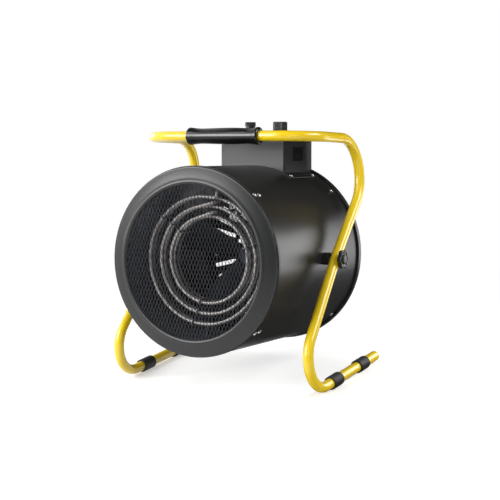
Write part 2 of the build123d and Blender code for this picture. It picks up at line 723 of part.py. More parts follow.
for x in (thermostat_x, selector_x):
    cover -= Pos(x, knob_y, box_top) * Cylinder(bush_hole_r, 10)
cover -= Pos(0, box_y1, gland_z) * Rot(90, 0, 0) * Cylinder(gland_r - 2.5, 10)
nodes["control_box"] = hung(cover.solid())


def spindle_body(x, lower):
    """Switch or thermostat body under the box's top, its threaded neck and nut through the top."""
    neck = Pos(x, knob_y, box_top - box_t) * Cylinder(bush_hole_r - slip_gap, box_t + 5.0, align=above)
    nut = Pos(x, knob_y, box_top) * extrude(RegularPolygon(7.0, 6), amount=2.4)
    body = Pos(x, knob_y, box_top - box_t) * lower
    body = body + neck + nut
    return body - Pos(x, knob_y, box_top) * Cylinder(spindle_r + pin_clear, 60)


thermostat_case = fillet(Box(body_w, body_w, body_h, align=under).edges().filter_by(Axis.Z), body_w * 0.09)
nodes["thermostat_body"] = hung(spindle_body(thermostat_x, thermostat_case))
nodes["switch_body"] = hung(spindle_body(selector_x, Cylinder(switch_r, switch_h, align=under)))

block_at = Pos(0, box_y0 + block_back, drum_r)
block = block_at * Box(block_w, block_d, block_h, align=above)
block += block_at * Pos(0, 0, 1) * Box(block_tail_w, block_d * 0.8, block_tail_h + 1, align=under)
for k in range(6):
    block -= block_at * Pos((k - 2.5) * block_w / 6, 0, block_h) * Cylinder(block_w * 0.04, block_h * 0.75)
block -= disc_y(box_y0, drum_r + 0.02, box_len)
nodes["terminal_block"] = hung(block.solid())

gland = Pos(0, box_y1, gland_z) * Rot(-90, 0, 0) * (
    extrude(RegularPolygon(gland_r + 1.0, 6), amount=5)
    + Cylinder(gland_r, 12, align=above)
    + Pos(0, 0, -box_t - 6) * Cylinder(gland_r - 2.5 - slip_gap, box_t + 7, align=above)
    + Pos(0, 0, -box_t - 4) * extrude(RegularPolygon(gland_r + 1.0, 6), amount=4 - 0.02)
    - Cylinder(gland_bore_r, 60))
nodes["cable_gland"] = hung(gland.solid())


# ---------------------------------------------------------------------------
# Knobs on the box
# ---------------------------------------------------------------------------
def fluted(r, flutes, depth):
    outline = Circle(r)
    cut = Circle(depth)
    for k in range(flutes):
        outline -= Rot(0, 0, 360 / flutes * k) * Pos(r + depth * 0.35, 0, 0) * cut
    return outline


knob_base = box_top + 2.4 + running_gap
knob_top = box_top + knob_h
spindle_end = box_top - box_t - 12.0
spindle = Pos(0, 0, spindle_end) * Cylinder(spindle_r, knob_base + 4 - spindle_end, align=above)
recess = Pos(0, 0, knob_base - 1) * Cylinder(bush_hole_r + 1.0, 4.5, align=above)

knob = Pos(0, 0, knob_base) * Cylinder(thermostat_knob_r + 1.4, 3.0, align=above)
knob_grip = extrude(fluted(thermostat_knob_r, 22, 1.2), amount=knob_top - knob_base - 3)
knob += Pos(0, 0, knob_base + 3) * knob_grip
knob = knob - recess + spindle
nodes["thermostat_knob"] = hung(Pos(thermostat_x, knob_y, 0) * knob.solid())

pointer = Pos(0, 0, knob_base) * Cylinder(selector_knob_r - 0.9, knob_top - knob_base - 9, align=above)
wing = extrude(SlotOverall(2 * selector_knob_r + 1.0, 9.0), amount=9.0)
wing += extrude(Circle(selector_knob_r), amount=3.0)
pointer += Pos(0, 0, knob_top - 9.0) * Rot(0, 0, 35) * wing
pointer = pointer - recess + spindle
nodes["selector_knob"] = hung(Pos(selector_x, knob_y, 0) * pointer.solid())

# ---------------------------------------------------------------------------
# Pivots: stud, nut and spacer on the drum, washer and lobed knob outside the tube
# ---------------------------------------------------------------------------
spacer_x1 = tube_in_x - lean_gap
washer_x0 = tube_out_x + lean_gap
knob_x0 = washer_x0 + washer_t + running_gap
knob_x1 = knob_x0 + clamp_knob_t
stud_x1 = knob_x1 - 2.4
stud_x0 = drum_in_r - nut_t - 3.0
stud = bar_x(stud_x0, stud_x1, stud_r)
nut = extrude(RegularPolygon(nut_across / sqrt(3), 6), amount=nut_t)
nut = Pos(drum_in_r - nut_t, 0, 0) * Rot(0, 90, 0) * nut
nut = Pos(0, pivot_back, 0) * (nut - bar_x(stud_x0, stud_x1, stud_r))
nut &= disc_y(0, drum_in_r - 0.02, drum_len)
boss = bar_x(drum_r - 3, spacer_x1, spacer_r) - bar_x(stud_x0, stud_x1, stud_r)
boss = Pos(0, pivot_back, 0) * boss - disc_y(0, drum_r + 0.02, drum_len)
clamp_washer = bar_x(washer_x0, washer_x0 + washer_t, washer_r)
clamp_washer -= bar_x(washer_x0 - 1, washer_x0 + washer_t + 1, stud_r + pin_clear)

lobe_r = clamp_knob_r * 0.29
lobes = Circle(clamp_knob_r * 0.8)
for k in range(clamp_lobes):
    lobes += Rot(0, 0, 360 / clamp_lobes * k + 30) * Pos(clamp_knob_r - lobe_r, 0, 0) * Circle(lobe_r)
handwheel = extrude(lobes, amount=clamp_knob_t - 2.0)
handwheel += Pos(0, 0, clamp_knob_t - 2.0) * Cylinder(clamp_knob_r * 0.5, 2.0, align=above)
handwheel -= Cylinder(stud_r + pin_clear, stud_x1 - knob_x0 + 0.6, align=above)
handwheel = Pos(knob_x0, 0, 0) * Rot(0, 90, 0) * handwheel.solid()

for side, name in ((1, "right"), (-1, "left")):
    def both(shape):
        return shape if side > 0 else mirror(shape, about=Plane.YZ)

    nodes["pivot_stud_" + name] = hung(both(Pos(0, pivot_back, 0) * stud))
    nodes["pivot_nut_" + name] = hung(both(nut))
    nodes["pivot_spacer_" + name] = hung(both(boss))
    nodes["clamp_washer_" + name] = hung(both(Pos(0, pivot_back, 0) * clamp_washer))
    nodes["clamp_knob_" + name] = hung(both(Pos(0, pivot_back, 0) * handwheel))

# ---------------------------------------------------------------------------
# Origin: on the floor, under the middle of the whole heater
# ---------------------------------------------------------------------------
boxes = [shape.bounding_box(optimal=True) for shape in nodes.values()]
middle_y = (min(b.min.Y for b in boxes) + max(b.max.Y for b in boxes)) / 2
print("whole", [round(min(tuple(b.min)[i] for b in boxes), 3) for i in range(3)],
      [round(max(tuple(b.max)[i] for b in boxes), 3) for i in range(3)])
print("pivot at y", round(-middle_y, 4), "z", round(pivot_z, 4))
for name, shape in nodes.items():
    export_step(Pos(0, -middle_y, 0) * shape, "parts/" + name + ".step")
    print(name, len(shape.solids()))
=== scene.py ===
# %% [markdown]
# # A forced air heater
# The real heater is a painted steel drum with a fan at the back and coiled heating rods at the
# front, hung in a stand of bent tube that is foot, leg and carrying handle in one.
# The pieces already exist as a plain model that fixes every size and every joint. This script
# loads that model, builds fine versions of the pieces that show, and gives each its finish.

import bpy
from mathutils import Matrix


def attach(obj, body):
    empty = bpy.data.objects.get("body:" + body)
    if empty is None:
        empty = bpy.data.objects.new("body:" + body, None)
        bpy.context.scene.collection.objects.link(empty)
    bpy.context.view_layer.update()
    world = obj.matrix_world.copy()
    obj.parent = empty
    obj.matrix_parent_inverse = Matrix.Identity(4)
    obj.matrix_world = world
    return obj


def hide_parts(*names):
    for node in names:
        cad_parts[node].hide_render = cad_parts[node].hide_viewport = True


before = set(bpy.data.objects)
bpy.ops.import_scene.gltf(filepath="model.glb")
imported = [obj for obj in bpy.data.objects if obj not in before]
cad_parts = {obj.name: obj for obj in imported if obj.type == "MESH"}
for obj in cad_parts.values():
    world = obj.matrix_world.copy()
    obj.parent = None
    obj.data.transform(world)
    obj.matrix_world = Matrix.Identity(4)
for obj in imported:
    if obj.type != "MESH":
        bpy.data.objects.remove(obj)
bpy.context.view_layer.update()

# %% Other modules and the two places where pieces are drawn
import math
import random

import bmesh
import bpy
from mathutils import Matrix, Vector

mm = 0.001
pivot = Vector((0, 0.0135335, 0.2378))
pivot_back = 189.2  # how far the pivot lies behind the drum's mouth, in mm
lean = math.radians(7.25)
in_stand = Matrix.Translation(pivot)
to_mouth = Matrix.Translation((0, -pivot_back * mm, 0))
in_drum = in_stand @ Matrix.Rotation(-lean, 4, "X") @ to_mouth
both_sides = ((1, "right"), (-1, "left"))
print("drum's mouth centre:", [round(v, 4) for v in in_drum.translation])

# %% Helpers for objects and node trees
def put(name, data):
    thing = bpy.data.objects.new(name, data)
    bpy.context.collection.objects.link(thing)
    return thing


def cleared(owner):
    """The node tree of a material or a world, without its first nodes."""
    owner.use_nodes = True
    owner.node_tree.nodes.clear()
    return owner.node_tree


def feed(tree, value, socket):
    """Give an input a plain value, or what another node puts out."""
    if hasattr(value, "outputs"):
        value = value.outputs[0]
    if hasattr(value, "is_linked"):
        tree.links.new(value, socket)
    else:
        socket.default_value = value


def add(tree, kind, *in_order, **by_name):
    """A node with its inputs fed, in their order or by name with _ for a space."""
    node = tree.nodes.new(kind)
    for value, socket in zip(in_order, node.inputs):
        feed(tree, value, socket)
    for label, value in by_name.items():
        feed(tree, value, node.inputs[label.replace("_", " ")])
    return node


def sums(tree, kind, *values, clamped=False):
    """One step of arithmetic."""
    node = add(tree, "ShaderNodeMath", *values)
    node.operation = kind
    node.use_clamp = clamped
    return node.outputs[0]


def times(tree, a, b, clamped=False):
    return sums(tree, "MULTIPLY", a, b, clamped=clamped)


print("helpers ready")

# %% [markdown]
# ## Camera
# A product shot is taken from a few metres away with a long lens, so that near and far parts keep
# nearly the same size. The camera stands to the right of the mouth and a little above it, and it
# is rolled by a few degrees. Setting its matrix from three directions keeps that roll exactly.

# %% Camera
lens_holder = bpy.data.cameras.new("long_lens")
lens_holder.lens = 97.84
lens_holder.sensor_width = 36.0
camera = put("camera", lens_holder)
to_right = Vector((0.87059, 0.48793, -0.06326))
to_top = Vector((-0.03553, 0.19058, 0.98103))
backwards = to_right.cross(to_top)
stands_at = pivot + Vector((1342.21, -2304.75, 506.75)) * mm
camera_turn = Matrix((to_right, to_top, backwards)).transposed().to_4x4()
camera.matrix_world = Matrix.Translation(stands_at) @ camera_turn
bpy.context.scene.camera = camera
bpy.context.scene.view_settings.view_transform = "Standard"
print("camera at", [round(v, 3) for v in stands_at])

# %% [markdown]
# ## Light, background and floor
# Soft boxes give a painted drum its long gentle highlights. A large one on the left fills the
# ring's face and the front of the box. A small one close behind on the right, where a mirror on
# the drum's side would see it, draws the light band near the mouth. A third hangs high on the
# right and slightly behind, where the slanted tubes mirror it along their length. Three weak ones
# in front, at the left rim and overhead open the edges.
#
# The white background is seen by the camera and in reflections only, and a weak room light takes
# its place for everything else, so the floor keeps the shadow that holds the heater down. White
# all round would turn a black coat grey, so black cards stand behind, beside, above and below, as
# in a product studio. A flag keeps the small lamp off the box's side, and a grey card near the
# floor keeps the drum's belly from going fully black.

# %% Soft boxes
def soft_box(name, place, aim, size, power):
    lamp = bpy.data.lights.new(name, "AREA")
    lamp.shape = "RECTANGLE"
    lamp.size, lamp.size_y = size
    lamp.energy = power
    holder = put(name, lamp)
    holder.location = place
    holder.rotation_euler = (Vector(aim) - Vector(place)).to_track_quat("-Z", "Y").to_euler()


soft_box("left_box", (-1.24, -1.86, 1.20), (0, -0.05, 0.25), (1.4, 1.0), 59)
soft_box("band_box", (0.51, 0.60, 0.27), (0.178, -0.12, 0.25), (0.34, 0.5), 2.2)
soft_box("right_box", (1.84, 0.45, 1.62), (0.19, 0, 0.25), (1.1, 0.9), 30)
soft_box("front_box", (1.6, -2.1, 1.0), (0, -0.1, 0.25), (0.5, 0.5), 5)
soft_box("rim_box", (-1.9, 0.35, 0.7), (0, -0.1, 0.25), (0.6, 0.8), 15)
soft_box("top_box", (-0.6, -1.2, 2.0), (0, -0.1, 0.3), (0.8, 0.8), 8)
print("six soft boxes")

# %% Black cards
def black_card(name, corners, tone=0.012, shades=False):
    """A matt panel outside the picture. Only reflections meet it, or lamp light if it shades."""
    mesh = bpy.data.meshes.new(name)
    mesh.from_pydata(corners, [], [(0, 1, 2, 3)])
    matt_black = bpy.data.materials.new(name)
    tree = cleared(matt_black)
    surface = add(tree, "ShaderNodeBsdfDiffuse", (tone, tone, tone, 1))
    add(tree, "ShaderNodeOutputMaterial", surface)
    mesh.materials.append(matt_black)
    card = put(name, mesh)
    card.visible_camera = False
    card.visible_shadow = shades
    card.visible_diffuse = False


def upright(x0, y0, x1, y1, z0, z1):
    return [(x0, y0, z0), (x1, y1, z0), (x1, y1, z1), (x0, y0, z1)]


def level(x0, y0, x1, y1, z):
    return [(x0, y0, z), (x1, y0, z), (x1, y1, z), (x0, y1, z)]


foot, ceiling, on_floor = 0.02, 3.0, 0.002
black_card("card_behind", upright(-1.6, 2.1, 2.6, 2.1, foot, ceiling))
black_card("card_right", upright(2.6, 2.1, 2.6, -3.4, foot, ceiling))
black_card("card_front", upright(-0.1, -3.6, 2.6, -3.6, foot, ceiling))
black_card("card_above", level(-1.6, -2.2, 2.6, 2.1, ceiling))
black_card("card_below", level(-0.2, 0.9, 2.6, 2.1, on_floor))
black_card("card_near", level(0.0, -0.2, 2.6, 0.9, on_floor), 0.09)
black_card("flag", upright(0.15, 0.30, 0.40, 0.30, 0.34, 0.6), shades=True)
print("six black cards and a grey one")

# %% White surroundings that only the camera and reflections see
def seen_directly(tree):
    """1 for rays from the camera, or from a mirror or a glass, and 0 for rays that gather light."""
    rays = tree.nodes.new("ShaderNodeLightPath").outputs
    total = sums(tree, "ADD", rays["Is Camera Ray"], rays["Is Glossy Ray"])
    return sums(tree, "ADD", total, rays["Is Transmission Ray"], clamped=True)


white = (1, 1, 1, 1)
world = bpy.data.worlds.new("studio")
bpy.context.scene.world = world
sky = cleared(world)
room_light = add(sky, "ShaderNodeBackground", (1.0, 0.99, 0.97, 1), 0.28)
white_wall = add(sky, "ShaderNodeBackground", white, 1.0)
choose = add(sky, "ShaderNodeMixShader", seen_directly(sky), room_light, white_wall)
add(sky, "ShaderNodeOutputWorld", choose)
print("white background for the camera, soft room light for the rest")

# %% Floor
floor_mesh = bpy.data.meshes.new("floor")
floor_mesh.from_pydata(level(-6, -6, 6, 6, 0), [], [(0, 1, 2, 3)])
floor = put("floor", floor_mesh)
floor_look = bpy.data.materials.new("pale_floor")
ground = cleared(floor_look)
own_grey, lift_share = 0.72, 0.42
matt = add(ground, "ShaderNodeBsdfDiffuse", (own_grey, own_grey, own_grey, 1))
lift = add(ground, "ShaderNodeEmission", white, times(ground, seen_directly(ground), lift_share))
near_floor = add(ground, "ShaderNodeAddShader", matt, lift)
print("floor's own colour 0.72, lifted to white where it is seen directly")

# %% Far from the heater the floor runs into the white background
spot = add(ground, "ShaderNodeTexCoord").outputs["Object"]
reach = add(ground, "ShaderNodeVectorMath", spot)
reach.operation = "LENGTH"
fade = add(ground, "ShaderNodeMapRange", reach.outputs["Value"], From_Min=0.35, From_Max=1.1)
fade.interpolation_type = "SMOOTHSTEP"
fade_seen = times(ground, fade, seen_directly(ground))
far_white = add(ground, "ShaderNodeEmission", white)
runs_out = add(ground, "ShaderNodeMixShader", fade_seen, near_floor, far_white)
add(ground, "ShaderNodeOutputMaterial", runs_out)
floor_mesh.materials.append(floor_look)
print("floor in place")

# %% [markdown]
# ## Shared effects
# Powder coat, rubber and sheet steel differ in numbers more than in kind: each drifts a little in
# tone, has a fine grain, and is rubbed at its edges. Each effect is made once as a node group
# with named inputs, and every finish sets its own values. The groups put out masks, values and
# heights only, and each finish keeps its own shader.

# %% A small kit for node groups
def effect(name, numbers, gives):
    """A node group that takes a place and some numbers, with what it takes and gives."""
    group = bpy.data.node_groups.new(name, "ShaderNodeTree")
    group.interface.new_socket("Place", in_out="INPUT", socket_type="NodeSocketVector")
    for label, value in numbers.items():
        socket = group.interface.new_socket(label, in_out="INPUT", socket_type="NodeSocketFloat")
        socket.default_value = value
    for label in gives:
        group.interface.new_socket(label, in_out="OUTPUT", socket_type="NodeSocketFloat")
    taken, given = group.nodes.new("NodeGroupInput"), group.nodes.new("NodeGroupOutput")
    return group, taken.outputs, given.inputs


def speckle(tree, vector, scale, detail=2.0, rough=0.5):
    return add(tree, "ShaderNodeTexNoise", Vector=vector, Scale=scale, Detail=detail,
               Roughness=rough).outputs[0]


print("kit ready")

# %% Tone drift: cloudy change of shade and gloss over a hand's width
drift_group, taken, given = effect("tone_drift", {"Scale": 6.0, "Spread": 0.1}, ["Shade", "Gloss"])
tree = drift_group
wide = speckle(tree, taken["Place"], taken["Scale"], 4.0, 0.6)
close = speckle(tree, taken["Place"], times(tree, taken["Scale"], 9.0), 3.0)
mixed = sums(tree, "ADD", times(tree, wide, 0.7), times(tree, close, 0.3))
swing = times(tree, sums(tree, "SUBTRACT", mixed, 0.5), taken["Spread"])
feed(tree, sums(tree, "MULTIPLY_ADD", swing, 2.0, 1.0), given["Shade"])
feed(tree, swing, given["Gloss"])
print("tone drift")

# %% Grain: the height of a moulded or sprayed surface
grain_group, taken, given = effect("surface_grain", {"Scale": 900.0, "Waviness": 0.3}, ["Height"])
tree = grain_group
fine = speckle(tree, taken["Place"], taken["Scale"], 2.0)
slow = speckle(tree, taken["Place"], times(tree, taken["Scale"], 0.16), 1.0)
feed(tree, sums(tree, "ADD", fine, times(tree, slow, taken["Waviness"])), given["Height"])
print("surface grain")

# %% Edge rub and highlight: outer edges thinned by handling and knocks, and a painted highlight
rub_and_highlight_group, taken, given = effect(
    "edge_rub_and_highlight", {"Reach": 0.0012, "Amount": 0.6, "Scale": 60.0}, ["Mask"])
# On the mouth ring this mask, wider and paler, also paints a highlight on the bead.
tree = rub_and_highlight_group
softened = add(tree, "ShaderNodeBevel", taken["Reach"])
softened.samples = 4
true_facing = add(tree, "ShaderNodeNewGeometry").outputs["Normal"]
agree = add(tree, "ShaderNodeVectorMath", softened, true_facing)
agree.operation = "DOT_PRODUCT"
bend_gain, patch_level, patch_gain = 9.0, 0.42, 5.0
bend = times(tree, sums(tree, "SUBTRACT", 1.0, agree.outputs["Value"]), bend_gain)
patchy = speckle(tree, taken["Place"], taken["Scale"], 5.0, 0.65)
patchy = times(tree, sums(tree, "SUBTRACT", patchy, patch_level), patch_gain, clamped=True)
feed(tree, times(tree, times(tree, bend, taken["Amount"]), patchy, clamped=True), given["Mask"])
print("edge rub")

# %% Dust: a pale film on faces that look up
dust_group, taken, given = effect("settled_dust", {"Amount": 0.2}, ["Mask"])
tree = dust_group
facing = add(tree, "ShaderNodeNewGeometry").outputs["Normal"]
upward = add(tree, "ShaderNodeSeparateXYZ", facing).outputs["Z"]
least_upward, dust_gain = 0.35, 1.6
upward = times(tree, sums(tree, "SUBTRACT", upward, least_upward), dust_gain)
film = speckle(tree, taken["Place"], 35.0, 5.0, 0.6)
cover = times(tree, times(tree, upward, taken["Amount"]), film, clamped=True)
feed(tree, cover, given["Mask"])
print("settled dust")

# %% [markdown]
# ## Finishes
# One function lays out the same chain for every finish: place on the piece, drift, grain, rub and
# dust, then one Principled shader. What differs from paint to rubber to bare steel is written as
# plain numbers in the calls below it, where they can be read side by side.

# %% The chain that every finish shares
dust_colour = (0.42, 0.40, 0.37)


def finish(name, colour, gloss, drift, grain, rub, rub_and_highlight_colour, dust, metal=0.0, coat=0.0,
           coat_rough=0.12, stretch=(1, 1, 1), rub_metal=0.0, shine=0.5):
    """drift: scale, spread. grain: scale, waviness, height in mm. rub: reach, amount, scale. The
    rubbed edges are wear, and on the mouth ring also a painted highlight.
    """
    look = bpy.data.materials.new(name)
    look.use_nodes = True
    tree = look.node_tree
    shader = tree.nodes["Principled BSDF"]
    where = add(tree, "ShaderNodeTexCoord").outputs["Object"]
    turn = add(tree, "ShaderNodeMapping", where, Rotation=(lean, 0, 0), Scale=stretch)

    def place_group(group, **values):
        node = tree.nodes.new("ShaderNodeGroup")
        node.node_tree = group
        for label, value in values.items():
            feed(tree, value, node.inputs[label])
        return node

    def layer(below, above, share):
        node = tree.nodes.new("ShaderNodeMix")
        node.data_type = "RGBA"
        # Inputs 6 and 7 and output 2 are the node's sockets for colour.
        for i, value in ((0, share), (6, below), (7, (*above, 1))):
            feed(tree, value, node.inputs[i])
        return node.outputs[2]

    cloud = place_group(drift_group, Place=where, Scale=drift[0], Spread=drift[1])
    pores = place_group(grain_group, Place=turn, Scale=grain[0], Waviness=grain[1])
    edges = place_group(rub_and_highlight_group, Place=where, Reach=rub[0], Amount=rub[1], Scale=rub[2])
    film = place_group(dust_group, Place=where, Amount=dust)
    shaded = add(tree, "ShaderNodeHueSaturation", Color=(*colour, 1), Value=cloud.outputs["Shade"])
    dulled = sums(tree, "ADD", sums(tree, "ADD", cloud.outputs["Gloss"], gloss),
                  times(tree, film, 0.3))
    bump = add(tree, "ShaderNodeBump", Strength=1.0, Distance=grain[2] * mm, Height=pores)
    for label, value in {
            "Base Color": layer(layer(shaded, rub_and_highlight_colour, edges), dust_colour, film),
            "Roughness": dulled, "Normal": bump, "Specular IOR Level": shine,
            "Metallic": times(tree, edges, rub_metal) if rub_metal else metal,
            "Coat Weight": coat, "Coat Roughness": coat_rough}.items():
        feed(tree, value, shader.inputs[label])
    return look


print("finish chain ready")

# %% [markdown]
# ### Paints
# The drum's powder coat is a satin near-black with a fine sprayed grain. It is written a little
# lighter than black, because real paint scatters some light and pure black would look like a hole
# between the highlights. The mouth ring has the same coat with wider, paler rubbed edges: on its
# bead these are partly wear and partly a painted highlight.
# The stand's yellow is smoother and glossier, and its clear coat draws the highlight.

# %% Paints
satin_black = ((0.012, 0.0125, 0.013), 0.36, (5.0, 0.08), (1500.0, 0.4, 0.035))
black_coat = finish("black_powder_coat", *satin_black, (0.0010, 0.30, 70.0),
                    (0.10, 0.10, 0.10), 0.03, shine=0.45)
yellow_coat = finish("yellow_powder_coat", (0.80, 0.56, 0.004), 0.30, (9.0, 0.06),
                     (420.0, 0.6, 0.045), (0.0012, 0.25, 90.0), (0.75, 0.62, 0.25), 0.02,
                     coat=0.8, coat_rough=0.22, shine=0.4)
# Painted highlight: the ring's wide pale rubbed edges light its bead, besides showing wear.
ring_coat_painted_highlight = finish("ring_coat_with_painted_highlight", *satin_black, (0.0030, 0.8, 18.0),
                   (0.09, 0.09, 0.092), 0.03, shine=0.45)
motor_coat = finish("motor_lacquer", (0.035, 0.036, 0.038), 0.38, (7.0, 0.12),
                    (700.0, 0.4, 0.03), (0.0012, 0.5, 60.0), (0.35, 0.35, 0.36), 0.25,
                    rub_metal=0.6)
print("four paints")

# %% [markdown]
# ### Bare metals
# Galvanised sheet is pale and slightly cloudy. The liner and the combs take a darker copy of it,
# which is painted shade for the inside of the drum. The slit net is dark, and a heating rod's
# sheath is a dull warm grey after its first firing. Rolled sheet has its grain drawn out along one
# direction, which the stretch values do.

# %% Bare metals
zinc_sheet = finish("galvanised_sheet", (0.52, 0.53, 0.55), 0.36, (14.0, 0.22), (160.0, 0.8, 0.03),
                    (0.0010, 0.5, 50.0), (0.75, 0.75, 0.76), 0.12, metal=0.92, stretch=(1, 0.2, 1))
net_metal = finish("cut_net_steel", (0.045, 0.046, 0.052), 0.42, (20.0, 0.12), (900.0, 0.4, 0.02),
                   (0.0004, 0.2, 120.0), (0.12, 0.12, 0.13), 0.03, metal=0.5, shine=0.4)
rod_sheath = finish("fired_rod_sheath", (0.42, 0.395, 0.385), 0.46, (26.0, 0.12),
                    (500.0, 0.5, 0.01), (0.0006, 0.05, 90.0), (0.6, 0.58, 0.56), 0.05,
                    metal=0.35, shine=0.3)
screw_zinc = finish("zinc_plate", (0.62, 0.62, 0.63), 0.26, (30.0, 0.15), (800.0, 0.4, 0.01),
                    (0.0003, 0.6, 200.0), (0.85, 0.85, 0.86), 0.03, metal=0.95)
blade_metal = finish("rolled_fan_sheet", (0.09, 0.095, 0.12), 0.52, (10.0, 0.16),
                     (240.0, 0.6, 0.02), (0.0010, 0.3, 60.0), (0.30, 0.30, 0.31), 0.10,
                     metal=0.6, stretch=(1, 1, 0.15))
# Painted shade: a darker copy of galvanised sheet for the liner and the combs inside the drum.
shade_painted_sheet = finish("painted_shade_sheet", (0.17, 0.177, 0.205), 0.42, (14.0, 0.25),
                     (160.0, 0.8, 0.03), (0.0010, 0.4, 50.0), (0.30, 0.30, 0.31), 0.06,
                     metal=0.5, stretch=(1, 0.2, 1))
print("six bare metals")

# %% [markdown]
# ### Rubber, plastics and ceramic
# The feet's rubber scatters light widely and has a coarser skin than paint, while the grip is
# polished by hands. The knobs are a harder satin plastic, and the insulators are glazed.

# %% Rubber, plastics and ceramic
foot_rubber = finish("foot_rubber", (0.014, 0.014, 0.0145), 0.55, (12.0, 0.14), (650.0, 0.7, 0.06),
                     (0.0012, 0.35, 80.0), (0.06, 0.06, 0.06), 0.05, shine=0.4)
grip_rubber = finish("grip_rubber", (0.004, 0.004, 0.0045), 0.22, (8.0, 0.10), (520.0, 0.6, 0.03),
                     (0.0015, 0.25, 60.0), (0.05, 0.05, 0.05), 0.02, shine=0.45)
black_plastic = finish("black_plastic", (0.006, 0.006, 0.0065), 0.42, (12.0, 0.10),
                       (1100.0, 0.4, 0.03), (0.0006, 0.35, 110.0), (0.06, 0.06, 0.06), 0.03,
                       shine=0.4)
knob_plastic = finish("knob_plastic", (0.014, 0.014, 0.015), 0.42, (14.0, 0.10),
                      (1200.0, 0.4, 0.03), (0.0005, 0.4, 120.0), (0.08, 0.08, 0.08), 0.04,
                      shine=0.4)
pale_plastic = finish("pale_plastic", (0.60, 0.57, 0.48), 0.45, (14.0, 0.08), (900.0, 0.4, 0.02),
                      (0.0006, 0.3, 90.0), (0.75, 0.72, 0.64), 0.15)
glazed_white = finish("glazed_ceramic", (0.72, 0.71, 0.66), 0.18, (16.0, 0.08), (300.0, 0.6, 0.02),
                      (0.0006, 0.3, 90.0), (0.80, 0.78, 0.74), 0.10, coat=0.4)
white_print = finish("white_print", (0.70, 0.70, 0.68), 0.5, (20.0, 0.10), (1200.0, 0.3, 0.01),
                     (0.0002, 0.2, 200.0), (0.5, 0.5, 0.5), 0.05)
plate_gloss = finish("bare_plate", (0.006, 0.006, 0.0065), 0.22, (12.0, 0.10), (900.0, 0.5, 0.01),
                     (0.0004, 0.5, 110.0), (0.15, 0.15, 0.15), 0.05, shine=0.6)
print("eight moulded and fired finishes")

# %% [markdown]
# ## Ways of making shapes
# Nearly everything on this heater is turned, bent or stacked: rings and the drum are a profile
# turned about an axis, tubes and rods are a circle led along a path, and knobs are outlines
# stacked in layers. Profiles are eased at their corners first, because a real pressed or moulded
# edge is never sharp, and the small round is what catches the light.

# %% Put a mesh on the heater as a piece
def face_outwards(mesh):
    fix = bmesh.new()
    fix.from_mesh(mesh)
    bmesh.ops.recalc_face_normals(fix, faces=fix.faces)
    fix.to_mesh(mesh)
    fix.free()


def add_piece(name, points, faces, look, body, slot, place, stands_for=(), crease=32):
    """Points are in mm, and place puts them on the heater."""
    mesh = bpy.data.meshes.new(name)
    mesh.from_pydata([Vector(p) * mm for p in points], [], faces)
    mesh.validate()
    face_outwards(mesh)
    mesh.transform(place)
    for face in mesh.polygons:
        face.use_smooth = True
    mesh.set_sharp_from_angle(angle=math.radians(crease))
    mesh.materials.append(look)
    piece = put(name, mesh)
    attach(piece, body)
    if stands_for:
        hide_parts(*stands_for)


def gather(*parts):
    """Several lots of points and faces as one."""
    points, faces = [], []
    for some_points, some_faces in parts:
        start = len(points)
        points += some_points
        faces += [tuple(start + i for i in face) for face in some_faces]
    return points, faces


def moved(part, matrix):
    """A lot of points and faces, put elsewhere."""
    return [matrix @ Vector(p) for p in part[0]], part[1]


print("pieces are added through one function")

# %% Ease the corners of a profile
def eased(profile, radius, steps=4):
    """A closed profile with its corners rounded by one radius, or by one for each corner."""
    points = [Vector(p) for p in profile]
    radii = radius if isinstance(radius, (list, tuple)) else [radius] * len(points)
    out = []
    for i, here in enumerate(points):
        before, after = points[i - 1], points[(i + 1) % len(points)]
        u, v = (before - here), (after - here)
        half = u.angle(v) / 2
        back = min(radii[i] / math.tan(half), 0.45 * u.length, 0.45 * v.length)
        p, q = here + u.normalized() * back, here + v.normalized() * back
        for k in range(steps + 1):
            t = k / steps
            out.append(p * (1 - t) ** 2 + here * 2 * t * (1 - t) + q * t ** 2)
    return out


# %% Turn a profile about the drum's axis
def turned(profile, steps):
    """Points of the closed profile are (radius, y)."""
    rows = len(profile)
    points = []
    for k in range(steps):
        a = 2 * math.pi * k / steps
        points += [(r * math.cos(a), y, r * math.sin(a)) for r, y in profile]
    faces = []
    for k in range(steps):
        here, there = k * rows, (k + 1) % steps * rows
        for i in range(rows):
            j = (i + 1) % rows
            faces.append((here + i, here + j, there + j, there + i))
    return points, faces


print("profiles can be eased and turned")

# %% Lead a circle along a path
def led(path, radius, sides):
    """radius is one number, or one for each point of the path."""
    path = [Vector(p) for p in path]
    radii = radius if isinstance(radius, (list, tuple)) else [radius] * len(path)
    across = None
    points, faces = [], []
    for i, here in enumerate(path):
        way = (path[min(i + 1, len(path) - 1)] - path[max(i - 1, 0)]).normalized()
        if across is None:
            across = way.orthogonal().normalized()
        across = (across - way * across.dot(way)).normalized()
        other = way.cross(across)
        for k in range(sides):
            a = 2 * math.pi * k / sides
            points.append(here + (across * math.cos(a) + other * math.sin(a)) * radii[i])
    for i in range(len(path) - 1):
        for k in range(sides):
            j = (k + 1) % sides
            faces.append((i * sides + k, i * sides + j, (i + 1) * sides + j, (i + 1) * sides + k))
    faces.append(tuple(range(sides)))
    faces.append(tuple((len(path) - 1) * sides + k for k in range(sides)))
    return points, faces


